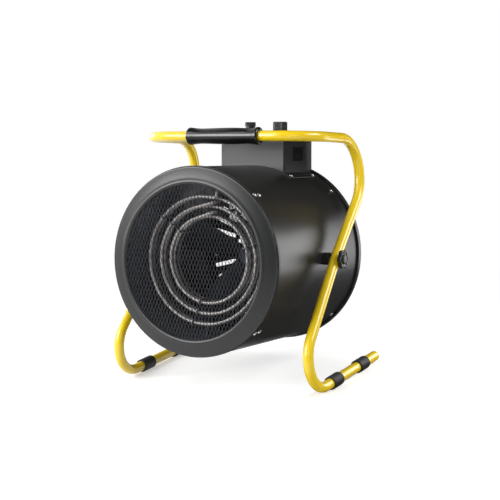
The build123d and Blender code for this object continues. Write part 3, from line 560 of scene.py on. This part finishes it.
def bent_path(corners, radii, pace=4.0):
    """Straight runs joined by arcs, as a tube bender makes them."""
    corners = [Vector(c) for c in corners]
    out = [corners[0]]
    for before, here, after, r in zip(corners, corners[1:], corners[2:], radii):
        u, v = (before - here).normalized(), (after - here).normalized()
        half = u.angle(v) / 2
        middle = here + (u + v).normalized() * (r / math.sin(half))
        back = r / math.tan(half)
        first, last = here + u * back, here + v * back
        sweep = math.pi - 2 * half
        steps = max(6, math.ceil(r * sweep / pace))
        e1 = (first - middle).normalized()
        e2 = (last - middle) - e1 * (last - middle).dot(e1)
        e2.normalize()
        for k in range(steps + 1):
            a = sweep * k / steps
            out.append(middle + (e1 * math.cos(a) + e2 * math.sin(a)) * r)
    out.append(corners[-1])
    return out


print("tubes can be bent")

# %% Stack an outline in layers
def stacked(outline, layers):
    """Each layer is (how far the outline is drawn in, height). Both ends are closed."""
    rows = len(outline)
    points, faces = [], []
    for inset, z in layers:
        for x, y in outline:
            r = math.hypot(x, y)
            k = max(0.0, (r - inset) / r)
            points.append((x * k, y * k, z))
    for i in range(len(layers) - 1):
        for k in range(rows):
            j = (k + 1) % rows
            faces.append((i * rows + k, i * rows + j, (i + 1) * rows + j, (i + 1) * rows + k))
    faces.append(tuple(range(rows)))
    faces.append(tuple((len(layers) - 1) * rows + k for k in range(rows)))
    return points, faces


print("outlines can be stacked")

# %% [markdown]
# ## Stand
# Each side of the stand is one 20 mm tube, bent four times: out of the grip, down into the rear
# bow, forward past the pivot, and back along the floor. A bender leaves the tube round, so a
# circle led along straight runs and true arcs is the right form. Drawing it as a curve object
# with a bevel would do too, but a mesh lets the arcs have exactly the bender's radii.

# %% Bent tubes
tube_r, half_width, splay = 10, 202.1, 0.0613
handle_y, handle_z = -60.6, 245.9
rear_y, rear_z = 255.0, 197.8
front_y, foot_end, foot_z, floor_z = -245.0, 126.7, -225.3, -237.8


def tube_x(z):
    return half_width - splay * z


def stand_corners(side):
    return [(0, handle_y, handle_z), (side * tube_x(handle_z), handle_y, handle_z),
            (side * tube_x(rear_z), rear_y, rear_z), (side * half_width, 0, 0),
            (side * tube_x(foot_z), front_y, foot_z), (side * tube_x(foot_z), foot_end, foot_z)]


for side, name in both_sides:
    run = bent_path(stand_corners(side), (75, 75, 250, 58))
    add_piece("stand_tube_" + name, *led(run, tube_r, 48), yellow_coat, "stand", "yellow_paint",
              in_stand, ["frame_tube_" + name])
    print("tube", name, "has", len(run), "rings of points")

# %% Closed tube ends
end_steps = ((113, 8.4), (126.4, 8.4), (126.4, 9.4), (126.9, 10), (128.2, 9.9), (129.1, 9.3),
             (129.6, 8.0), (129.7, 5.0), (129.7, 0.5))
for side, name in both_sides:
    run = [(side * tube_x(foot_z), y + 0.001 * i, foot_z) for i, (y, r) in enumerate(end_steps)]
    add_piece("tube_end_" + name, *led(run, [r for y, r in end_steps], 40), yellow_coat, "stand",
              "yellow_paint", in_stand, ["tube_plug_" + name])
print("tube ends closed")

# %% [markdown]
# The four rubber sleeves are short lengths of thick moulded hose pushed over the feet. Their ends
# are rounded, a shallow groove marks the mould's ends, and they are worn flat where they stand.

# %% Rubber sleeves
sleeve_profile = eased([(10.05, -19), (13.0, -19), (13.0, -15.6), (12.7, -15.2), (13.0, -14.8),
                        (13.0, 14.8), (12.7, 15.2), (13.0, 15.6), (13.0, 19), (10.05, 19)],
                       [0.5, 1.1, 0.1, 0.1, 0.1, 0.1, 0.1, 0.1, 1.1, 0.5])
sleeve = turned(sleeve_profile, 96)
for side, name in both_sides:
    for y, end in ((-59.5, "front_"), (60.0, "rear_")):
        points, faces = moved(sleeve, Matrix.Translation((side * tube_x(foot_z), y, foot_z)))
        points = [Vector((p.x, p.y, max(p.z, floor_z))) for p in points]
        add_piece("sleeve_" + end + name, points, faces, foot_rubber, "stand", "foot_rubber",
                  in_stand, ["foot_sleeve_" + end + name])
print("four sleeves, flat on the floor")

# %% [markdown]
# The grip is a soft rubber tube slid over the handle bar. It swells under the palm, necks in
# beside it and flares to a rim at each end. Its profile is a smooth line through a few measured
# radii, turned about the bar.

# %% Handle grip
def smooth_line(keys, per=10):
    """A smooth curve through keys of (x, radius), with its slope at each key from both sides."""
    out = []
    for i in range(len(keys) - 1):
        (x0, r0), (x1, r1) = keys[i], keys[i + 1]
        before, after = keys[max(i - 1, 0)], keys[min(i + 2, len(keys) - 1)]
        m0 = (r1 - before[1]) / (x1 - before[0])
        m1 = (after[1] - r0) / (after[0] - x0)
        w = x1 - x0
        for k in range(per):
            t = k / per
            r = ((2 * t ** 3 - 3 * t ** 2 + 1) * r0 + (t ** 3 - 2 * t ** 2 + t) * m0 * w
                 + (3 * t ** 2 - 2 * t ** 3) * r1 + (t ** 3 - t ** 2) * m1 * w)
            out.append((r, x0 + w * t))
    out.append((keys[-1][1], keys[-1][0]))
    return out


grip_line = smooth_line([(-75.5, 17.0), (-70, 16.4), (-58, 15.1), (-44, 14.8), (-14, 15.5),
                         (19, 15.9), (42, 15.2), (54, 14.8), (64, 15.3), (71, 16.4), (75.5, 17.0)])
end_out = [(16.9, 76.5), (16.2, 77.6), (15.0, 78.6), (13.6, 79.0), (12.2, 78.2), (10.1, 78.0)]
grip_profile = [(r, -x) for r, x in reversed(end_out)] + grip_line + end_out
grip_place = in_stand @ Matrix.Translation(Vector((8.5, handle_y, handle_z)) * mm)
grip_place = grip_place @ Matrix.Rotation(-math.pi / 2, 4, "Z")
add_piece("hand_grip", *turned(grip_profile, 96), grip_rubber, "stand", "grip_rubber", grip_place,
          ["handle_grip"])
print("grip", round(grip_profile[-1][1] - grip_profile[0][1], 1), "mm long")

# %% [markdown]
# ## Drum
# The drum is one sheet rolled into a cylinder, with a raised collar at the mouth that stiffens it
# and hides the edge of the front ring. Turning its wall as a closed profile gives it true sheet
# thickness, so that it looks right from the back as well.

# %% Drum shell
collar_r, drum_r = 180.8, 179.2
shell = eased([(collar_r, 0.2), (collar_r, 10.3), (drum_r, 12.2), (drum_r, 346.6), (178.0, 346.6),
               (178.0, 12.6), (179.6, 10.7), (179.6, 0.2)],
              [0.4, 1.2, 1.2, 0.4, 0.4, 1.2, 1.2, 0.4])
add_piece("drum", *turned(shell, 256), black_coat, "heater", "black_paint", in_drum,
          ["drum_shell"])
print("drum wall has", len(shell), "points in its profile")

# %% [markdown]
# The front ring is a pressing: a rounded bead round the mouth, a face that falls away towards the
# rim, a rolled rim, a narrow groove that reads as a dark line, and a skirt inside the collar.
# Three-point arcs draw the same curves as the press tool.

# %% Front ring
def arc(p, q, s, steps):
    """Points on the circle through p, q and s, from p to s."""
    (ax, ay), (bx, by), (cx, cy) = p, q, s
    d = 2 * (ax * (by - cy) + bx * (cy - ay) + cx * (ay - by))
    aa, bb, cc = ax ** 2 + ay ** 2, bx ** 2 + by ** 2, cx ** 2 + cy ** 2
    ux = (aa * (by - cy) + bb * (cy - ay) + cc * (ay - by)) / d
    uy = (aa * (cx - bx) + bb * (ax - cx) + cc * (bx - ax)) / d
    start, through, stop = (math.atan2(y - uy, x - ux) for x, y in (p, q, s))
    full = 2 * math.pi
    if (through - start) % full < (stop - start) % full:
        sweep = (stop - start) % full
    else:
        sweep = -((start - stop) % full)
    r = math.hypot(ax - ux, ay - uy)
    angles = [start + sweep * k / steps for k in range(steps + 1)]
    return [(ux + r * math.cos(a), uy + r * math.sin(a)) for a in angles]


ring_profile = ([(146.0, -9.3)] + arc((146.0, -9.8), (147.8, -12.35), (151.0, -13.5), 10)
                + arc((151.0, -13.5), (153.3, -13.15), (155.4, -12.2), 7)[1:]
                + arc((155.4, -12.2), (157.2, -11.35), (159.4, -10.6), 5)[1:]
                + arc((159.4, -10.6), (168.6, -7.7), (177.4, -4.4), 12)[1:]
                + arc((177.4, -4.4), (179.4, -3.5), (180.0, -2.4), 6)[1:]
                + [(180.0, -1.9), (177.6, -0.7), (177.6, 0.2), (179.45, 1.6), (179.45, 9.0),
                   (178.3, 9.0), (178.3, 2.1), (176.4, 0.7), (176.4, -2.7)]
                + arc((176.4, -2.7), (165.9, -7.2), (154.4, -10.7), 10)[1:]
                + [(152.4, -9.3)])
add_piece("mouth_ring", *turned(ring_profile, 256), ring_coat_painted_highlight, "heater", "black_paint", in_drum,
          ["front_ring"])
print("mouth ring has", len(ring_profile), "points in its profile")

# %% [markdown]
# ### The net
# The mouth is closed by expanded metal: a sheet is slit and pulled, so it opens into tall diamonds
# whose strands stand a little on edge. Each strand is one short bar here, tipped by 25 degrees,
# from knot to knot. A texture with holes would be lighter, but only real strands catch light on
# their edges and hide each other at a slant.

# %% Expanded metal
cell_w, cell_h, strand_w, strand_t = 7.4, 17.4, 0.95, 0.75
net_y, net_edge, edge_gap = -8.7, 150.0, 1.5
strand_tip, knot_overlap = math.radians(25), 0.35
from_front = Vector((0, 1, 0))
net_middle = Vector((0, net_y, 0))


def strand(a, b):
    along = (b - a).normalized()
    level_way = from_front.cross(along).normalized()
    tip = strand_tip * (1 if along.x > 0 else -1)
    flat = level_way * math.cos(tip) + from_front * math.sin(tip)
    thick = along.cross(flat)
    a, b = a - along * knot_overlap, b + along * knot_overlap
    corners = [flat * (u * strand_w / 2) + thick * (v * strand_t / 2)
               for u, v in ((-1, -1), (1, -1), (1, 1), (-1, 1))]
    points = [a + c for c in corners] + [b + c for c in corners]
    return points, [(0, 1, 5, 4), (1, 2, 6, 5), (2, 3, 7, 6), (3, 0, 4, 7), (0, 3, 2, 1),
                    (4, 5, 6, 7)]


strands = []
rows = math.ceil(net_edge / cell_h) * 2
columns = math.ceil(net_edge / cell_w) + 1
for row in range(-rows, rows + 1):
    for column in range(-columns, columns + 1):
        knot = Vector(((column + 0.5 * (row % 2)) * cell_w, net_y, row * cell_h / 2))
        for step in (-1, 1):
            top = knot + Vector((step * cell_w / 2, 0, cell_h / 2))
            if ((knot + top) / 2 - net_middle).length < net_edge - edge_gap:
                strands.append(strand(knot, top))
net_rim = turned(eased([(148.6, -9.2), (151.0, -9.2), (151.0, -8.2), (148.6, -8.2)], 0.2, 2), 192)
add_piece("mouth_net", *gather(*strands, net_rim), net_metal, "heater", "net_steel", in_drum,
          ["front_net"], crease=20)
print("net of", len(strands), "strands")

# %% [markdown]
# ### The liner
# Inside the drum a galvanised sleeve throws the heat forward and keeps the drum's own wall cool.
# Its sheet is painted darker than bare zinc, as painted shade for the inside of the drum. Four
# screws with spacers hold it off the drum.

# %% Liner
liner_profile = eased([(155.0, -6.9), (149.0, -6.9), (149.0, -8.1), (156.2, -8.1),
                       (156.2, 168.0), (155.0, 168.0)], [0.8, 0.3, 0.3, 1.0, 0.4, 0.4])
add_piece("heat_liner", *turned(liner_profile, 224), shade_painted_sheet, "heater", "liner_steel",
          in_drum, ["liner"])
print("liner in place")

# %% [markdown]
# ### Screws
# Pan-head screws hold the ring, the liner, the motor's bracket and the box. One head is made with
# care, with a domed top and a cross cut by a boolean, and then set out as copies, which is how
# repeated hardware is best made.

# %% One screw head, drawn along +X
def screw_head():
    dome = [(0.05, 2.6), (1.4, 2.52), (2.6, 2.2), (3.5, 1.6), (4.0, 0.9), (4.2, 0.25), (4.15, 0.0),
            (2.0, 0.0), (2.0, -6.0), (0.05, -6.0)]
    slot_reach, slot_half, slot_floor, above = 2.3, 0.42, 1.1, 4.0
    cross = []
    for half_x, half_z in ((slot_reach, slot_half), (slot_half, slot_reach)):
        block = [(x, y, z) for x in (-half_x, half_x) for y in (slot_floor, above)
                 for z in (-half_z, half_z)]
        cross.append((block, [(0, 1, 3, 2), (4, 6, 7, 5), (0, 4, 5, 1), (2, 3, 7, 6),
                              (0, 2, 6, 4), (1, 5, 7, 3)]))
    made = []
    for name, (points, faces) in (("blank", turned(dome, 40)), ("cutter", gather(*cross))):
        mesh = bpy.data.meshes.new(name)
        mesh.from_pydata(points, [], faces)
        face_outwards(mesh)
        made.append(put(name, mesh))
    cut = made[0].modifiers.new("cross", "BOOLEAN")
    cut.object = made[1]
    cut.operation = "DIFFERENCE"
    cut.solver = "EXACT"
    cut.use_self = True
    bpy.context.view_layer.update()
    graph = bpy.context.evaluated_depsgraph_get()
    done = bpy.data.meshes.new_from_object(made[0].evaluated_get(graph))
    turn = Matrix.Rotation(-math.pi / 2, 4, "Z")
    head = [turn @ v.co for v in done.vertices], [tuple(f.vertices) for f in done.polygons]
    for thing in made:
        bpy.data.objects.remove(thing)
    return head


head = screw_head()
print("screw head:", len(head[0]), "points,", len(head[1]), "faces")

# %% Screws round the drum
def set_screws(name, spots, node, seed):
    dice = random.Random(seed)
    copies = []
    for angle, y, seat in spots:
        spin = Matrix.Rotation(dice.uniform(0, math.pi / 2), 4, "X")
        round_drum = Matrix.Rotation(-math.radians(angle), 4, "Y")
        copies.append(moved(head, round_drum @ Matrix.Translation((seat, y, 0)) @ spin))
    add_piece(name, *gather(*copies), screw_zinc, "heater", "screw_steel", in_drum, [node],
              crease=28)


quarter = (45, 135, 225, 315)
flange_r, flange_angles, flange_ends = 180.4, (61.32, 118.68), (225.7, 318.7)
set_screws("collar_screws", [(a, 5.0, collar_r) for a in quarter], "ring_screws", 1)
set_screws("shield_screws", [(a, 23.5, drum_r) for a in quarter], "liner_screws", 2)
set_screws("bracket_screws", [(a, 325.0, drum_r) for a in quarter], "tail_screws", 3)
set_screws("cover_screws", [(a, y, flange_r) for a in flange_angles for y in flange_ends],
           "box_screws", 4)
print("sixteen screws")

# %% [markdown]
# ### Heating rods
# Three steel-sheathed rods are coiled one inside the other, and both ends of each are led back to
# an insulated plate. A coil is a helix, so its line is written from radius, pitch and angle, with
# bent leads at both ends, and a round section is led along it.

# %% Coiled rods
def coil_run(r, y0, turns, start, stop, reach, rise, pitch=14.0, back=144.0):
    """A coil whose front end steps outward by rise and runs back, as its rear end does."""
    lead_bend, straight, pace = 8.0, 10.0, 2.0
    first = math.radians(start)
    last = first + 2 * math.pi * turns - math.radians(stop)
    count = math.ceil((last - first) / math.radians(4))
    angles = [first + (last - first) * k / count for k in range(count + 1)]
    line = [Vector((r * math.cos(a), y0 + pitch * (a - first) / (2 * math.pi), r * math.sin(a)))
            for a in angles]

    def heading(a):
        return Vector((-r * math.sin(a), pitch / (2 * math.pi), r * math.cos(a))).normalized()

    corner = line[0] - heading(first) * reach
    lead = [line[0], corner]
    if rise:
        corner = corner + Vector((line[0].x, 0, line[0].z)).normalized() * rise
        lead.append(corner)
    lead.append(Vector((corner.x, back, corner.z)))
    lead = bent_path(lead, [lead_bend] * (len(lead) - 2), pace)[::-1]
    end = line[-1] + heading(last) * straight
    tail = bent_path([line[-1], end, Vector((end.x, back, end.z))], [lead_bend], pace)
    return lead[:-1] + line + tail[1:]


def painted_depth_shade(look, front, share=0.2):
    """Painted shade: the turn nearest the net keeps its colour, and the turns behind it are painted
    darker, as the drum's shade.
    """
    pale_to, dark_from = (front + 10.0) * mm, (front + 17.0) * mm
    tree = look.node_tree
    base = tree.nodes["Principled BSDF"].inputs["Base Color"]
    shift = Vector((0, pivot_back * mm, 0)) - Matrix.Rotation(lean, 3, "X") @ pivot
    where = add(tree, "ShaderNodeTexCoord").outputs["Object"]
    turn = add(tree, "ShaderNodeMapping", where, Location=shift, Rotation=(lean, 0, 0))
    from_mouth = add(tree, "ShaderNodeSeparateXYZ", turn).outputs["Y"]
    depth = add(tree, "ShaderNodeMapRange", from_mouth, From_Min=pale_to, From_Max=dark_from,
                To_Min=1.0, To_Max=share)
    depth.interpolation_type = "SMOOTHSTEP"
    unshaded = base.links[0].from_socket
    feed(tree, add(tree, "ShaderNodeHueSaturation", Value=depth, Color=unshaded), base)
    return look


# Each row has a coil's radius, front, turns, start and stop angles, reach and rise.
rods = {"outer": (122, 32, 2, 84, 28, 18, 18), "middle": (103, 43, 2, 104, 50, 45, 0),
        "inner": (83, 47, 3, 108, 56, 42, 0)}
rod_r = 3.1
for name, row in rods.items():
    run = coil_run(*row)
    # Painted shade: turns deeper in the drum are darker.
    sheath = painted_depth_shade(rod_sheath.copy(), row[1])
    add_piece("rod_" + name, *led(run, rod_r, 20), sheath, "heater", "rod_steel", in_drum,
              ["heating_rod_" + name])
    print("rod", name, "is", round(sum((b - a).length for a, b in zip(run, run[1:]))), "mm long")

# %% [markdown]
# ## Rear end
# At the back a rolled ring clamps the guard to the drum. From the front only its rim shows, as a
# thin line behind the drum.

# %% Rear ring
rear_profile = eased([(179.3, 338.0), (183.4, 338.0), (183.4, 349.0), (170.4, 349.0),
                      (170.4, 347.8), (179.3, 347.8)], [0.4, 0.5, 1.6, 0.5, 0.3, 0.1])
add_piece("tail_ring", *turned(rear_profile, 256), black_coat, "heater", "black_paint", in_drum,
          ["rear_ring"])
print("tail ring in place")

# %% [markdown]
# ## Clamps at the pivot
# A star knob on each side pinches the tube against the drum and holds the tilt. Its outline is six
# soft lobes, stacked in layers so that both rims are rounded, with a shallow dish and a boss in
# the middle of the outer face.

# %% Star knobs
def star_outline(valley=15.3, lobe_height=3.7, lobes=6, steps=144):
    out = []
    for k in range(steps):
        a = 2 * math.pi * k / steps
        lobe = (0.5 + 0.5 * math.cos(lobes * (a - math.radians(30)))) ** 0.75
        r = valley + lobe_height * lobe
        out.append((r * math.cos(a), r * math.sin(a)))
    return out


knob_layers = [(1.4, 0.0), (0.4, 0.3), (0.0, 1.0), (0.0, 5.4), (0.25, 6.1), (0.9, 6.7), (1.8, 7.0),
               (3.0, 7.0), (3.8, 6.7), (6.0, 6.2)]
boss = turned([(0.05, 9.0), (6.8, 9.0), (8.0, 8.7), (8.7, 8.0), (9.3, 6.4), (9.3, 5.8),
               (0.05, 5.8)], 64)
boss = moved(boss, Matrix.Rotation(math.pi / 2, 4, "X"))
star_knob = gather(stacked(star_outline(), knob_layers), boss)
gap, washer_r, washer_t = 0.3, 12.0, 1.2
tube_side = half_width + tube_r
knob_start = tube_side + gap + splay * washer_r + washer_t + gap
for side, name in both_sides:
    seat = in_drum @ Matrix.Translation(Vector((side * knob_start, pivot_back, 0)) * mm)
    seat = seat @ Matrix.Scale(side, 4, (1, 0, 0)) @ Matrix.Rotation(math.pi / 2, 4, "Y")
    add_piece("star_knob_" + name, *star_knob, black_plastic, "clamp_star_" + name,
              "black_plastic", seat, ["clamp_knob_" + name])
print("star knobs start", round(knob_start, 2), "mm from the middle")

# %% [markdown]
# ## Control box fittings
# Two knobs stand on the box's top: a round fluted one for the thermostat and a smaller winged one
# for the power steps. The box's right side carries a small plate that stays bare.

# %% Thermostat knob
def round_outline(r, steps=64):
    angles = [2 * math.pi * k / steps for k in range(steps)]
    return [(r * math.cos(a), r * math.sin(a)) for a in angles]


def fluted_outline(r, flutes, depth, per=8):
    out = []
    for k in range(flutes * per):
        flute = depth * (0.5 - 0.5 * math.cos(2 * math.pi * k / per)) ** 0.7
        a = 2 * math.pi * k / (flutes * per)
        out.append(((r - flute) * math.cos(a), (r - flute) * math.sin(a)))
    return out


box_top, knob_y, thermostat_x, selector_x = 238.0, 283.7, 31.0, -38.5
dial_base = box_top + 2.7
dial_skirt = stacked(round_outline(16.0, 96),
                     [(0.5, 0), (0, 0.4), (0, 2.0), (0.4, 2.7), (1.2, 3.2), (2.5, 3.4)])
dial_body = stacked(fluted_outline(14.6, 36, 0.75),
                    [(0, 2.8), (0, 23.6), (0.3, 24.6), (1.0, 25.4), (2.0, 25.8), (3.4, 25.8),
                     (3.9, 25.3), (4.5, 25.1)])
dial_at = in_drum @ Matrix.Translation(Vector((thermostat_x, knob_y, dial_base)) * mm)
add_piece("dial_knob", *gather(dial_skirt, dial_body), knob_plastic, "thermostat_dial",
          "knob_plastic", dial_at, ["thermostat_knob"])
mark = stacked([(0.45, -4.0), (0.45, 4.0), (-0.45, 4.0), (-0.45, -4.0)], [(0, 0), (0, 0.35)])
mark_at = dial_at @ Matrix.Translation(Vector((0, -9.2, 25.0)) * mm)
add_piece("dial_mark", *mark, white_print, "thermostat_dial", "knob_plastic", mark_at)
print("thermostat knob and its mark")

# %% Selector knob
def slot_outline(length, width, per=16):
    half = (length - width) / 2
    out = []
    for end in (1, -1):
        for k in range(per + 1):
            a = -end * math.pi / 2 + math.pi * k / per
            out.append((end * half + width / 2 * math.cos(a), width / 2 * math.sin(a)))
    return out


selector_rest = 35  # degrees from +X to the wing's mark
stem = stacked(round_outline(9.7), [(0.4, 0), (0, 0.4), (0, 16.8), (0.6, 17.2)])
collar = stacked(round_outline(10.6), [(0.6, 16.8), (0, 17.3), (0, 19.2), (0.5, 19.8), (1.4, 20.1)])
wing = stacked(slot_outline(22.2, 9.0),
               [(0, 16.9), (0, 24.6), (0.3, 25.3), (0.9, 25.7), (1.6, 25.8)])
wing_turn = Matrix.Rotation(math.radians(selector_rest), 4, "Z")
power_knob = gather(stem, collar, moved(wing, wing_turn))
selector_at = in_drum @ Matrix.Translation(Vector((selector_x, knob_y, dial_base)) * mm)
add_piece("power_knob", *power_knob, knob_plastic, "selector_dial", "knob_plastic", selector_at,
          ["selector_knob"])
mark_at = selector_at @ wing_turn @ Matrix.Translation(Vector((6.2, 0, 25.6)) * mm)
mark = stacked([(-3.6, -0.45), (3.6, -0.45), (3.6, 0.45), (-3.6, 0.45)], [(0, 0), (0, 0.3)])
add_piece("power_mark", *mark, white_print, "selector_dial", "knob_plastic", mark_at)
print("selector knob and its mark")

# %% [markdown]
# Both knobs stand in printed scales. A print is a thin layer of paint, so each stroke is a round
# bead led along the figure's line and pressed nearly flat. The figures are laid out at the angles
# that the knobs' marks reach: each turns clockwise as seen from above.

# %% Printed scales
figures = {
    0: [(0.3, 1.0), (0.08, 0.85), (0.0, 0.5), (0.08, 0.15), (0.3, 0.0), (0.52, 0.15), (0.6, 0.5),
        (0.52, 0.85), (0.3, 1.0)],
    1: [(0.1, 0.76), (0.36, 1.0), (0.36, 0.0)],
    2: [(0.02, 0.76), (0.12, 0.95), (0.3, 1.0), (0.5, 0.93), (0.57, 0.74), (0.46, 0.5), (0.0, 0.0),
        (0.6, 0.0)],
    3: [(0.03, 0.87), (0.28, 1.0), (0.5, 0.93), (0.55, 0.76), (0.46, 0.59), (0.25, 0.53),
        (0.5, 0.44), (0.58, 0.27), (0.5, 0.07), (0.28, 0.0), (0.0, 0.13)],
    4: [(0.43, 0.0), (0.43, 1.0), (0.0, 0.3), (0.6, 0.3)],
    5: [(0.55, 1.0), (0.1, 1.0), (0.05, 0.56), (0.3, 0.62), (0.52, 0.52), (0.58, 0.32),
        (0.5, 0.08), (0.28, 0.0), (0.0, 0.13)],
    6: [(0.5, 0.93), (0.3, 1.0), (0.09, 0.84), (0.0, 0.45), (0.06, 0.14), (0.3, 0.0),
        (0.52, 0.1), (0.58, 0.3), (0.5, 0.52), (0.3, 0.6), (0.06, 0.46)],
}
figure_height, line_r, pressed = 3.8, 0.3, 0.35


def printed_scale(centre_x, first_angle, count, tick_from, tick_to, figure_at, step=45):
    """Ticks and figures from 0 up, clockwise about a knob's centre."""
    strokes = []
    for k in range(count):
        a = math.radians(first_angle - step * k)
        strokes.append([(centre_x + r * math.cos(a), knob_y + r * math.sin(a))
                        for r in (tick_from, tick_to)])
        left = centre_x + figure_at * math.cos(a) - 0.3 * figure_height
        low = knob_y + figure_at * math.sin(a) - 0.5 * figure_height
        strokes.append([(left + x * figure_height, low + y * figure_height)
                        for x, y in figures[k]])
    flat = Matrix.Translation((0, 0, box_top)) @ Matrix.Scale(pressed, 4, (0, 0, 1))
    return [moved(led([(x, y, 0) for x, y in line], line_r, 8), flat) for line in strokes]


scales = (printed_scale(thermostat_x, -90, 7, 18.2, 20.6, 24.0)
          + printed_scale(selector_x, selector_rest, 4, 13.2, 15.4, 18.8))
add_piece("dial_scales", *gather(*scales), white_print, "heater", "black_paint", in_drum,
          crease=60)
print("two scales,", len(scales), "strokes")

# %% Bare plate on the box's side
plate_corners = [(-15.0, -23.0), (15.0, -23.0), (15.0, 23.0), (-15.0, 23.0)]
plate_outline = [(p.x, p.y) for p in eased(plate_corners, 2.5, 6)]
plate = stacked(plate_outline,
                [(0, 0), (0, 0.5), (0.2, 0.7), (1.2, 0.7), (1.5, 0.5), (2.0, 0.5)])
plate_at = in_drum @ Matrix.Translation(Vector((73.0, 281.7, 201.2)) * mm)
plate_at = plate_at @ Matrix.Rotation(math.pi / 2, 4, "Y")
add_piece("side_plate", *plate, plate_gloss, "heater", "black_paint", plate_at)
print("bare side plate")

# %% [markdown]
# ## Finishes for the plain pieces that stay
# Where the plain model's shape is already right, such as the box, the fan or the guard, the piece
# stays as it is and only takes its finish.

# %% Finishes by piece
# The combs take the sheet painted darker for the drum's shade, like the liner.
kept = {
    "control_box": black_coat, "rear_guard": black_coat, "liner_spacers": zinc_sheet,
    "rod_combs": shade_painted_sheet, "terminal_plate": zinc_sheet, "terminal_bushes": glazed_white,
    "fan_wheel": blade_metal, "motor_shaft": screw_zinc, "motor_body": motor_coat,
    "motor_bracket": zinc_sheet, "frame_joiner": zinc_sheet, "thermostat_body": black_plastic,
    "switch_body": black_plastic, "terminal_block": pale_plastic, "cable_gland": black_plastic,
}
for name in ("right", "left"):
    for node in ("pivot_stud_", "pivot_nut_", "clamp_washer_"):
        kept[node + name] = screw_zinc
    kept["pivot_spacer_" + name] = black_plastic
for node, look in kept.items():
    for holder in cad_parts[node].material_slots:
        holder.material = look
print(len(kept), "plain pieces have their finish")
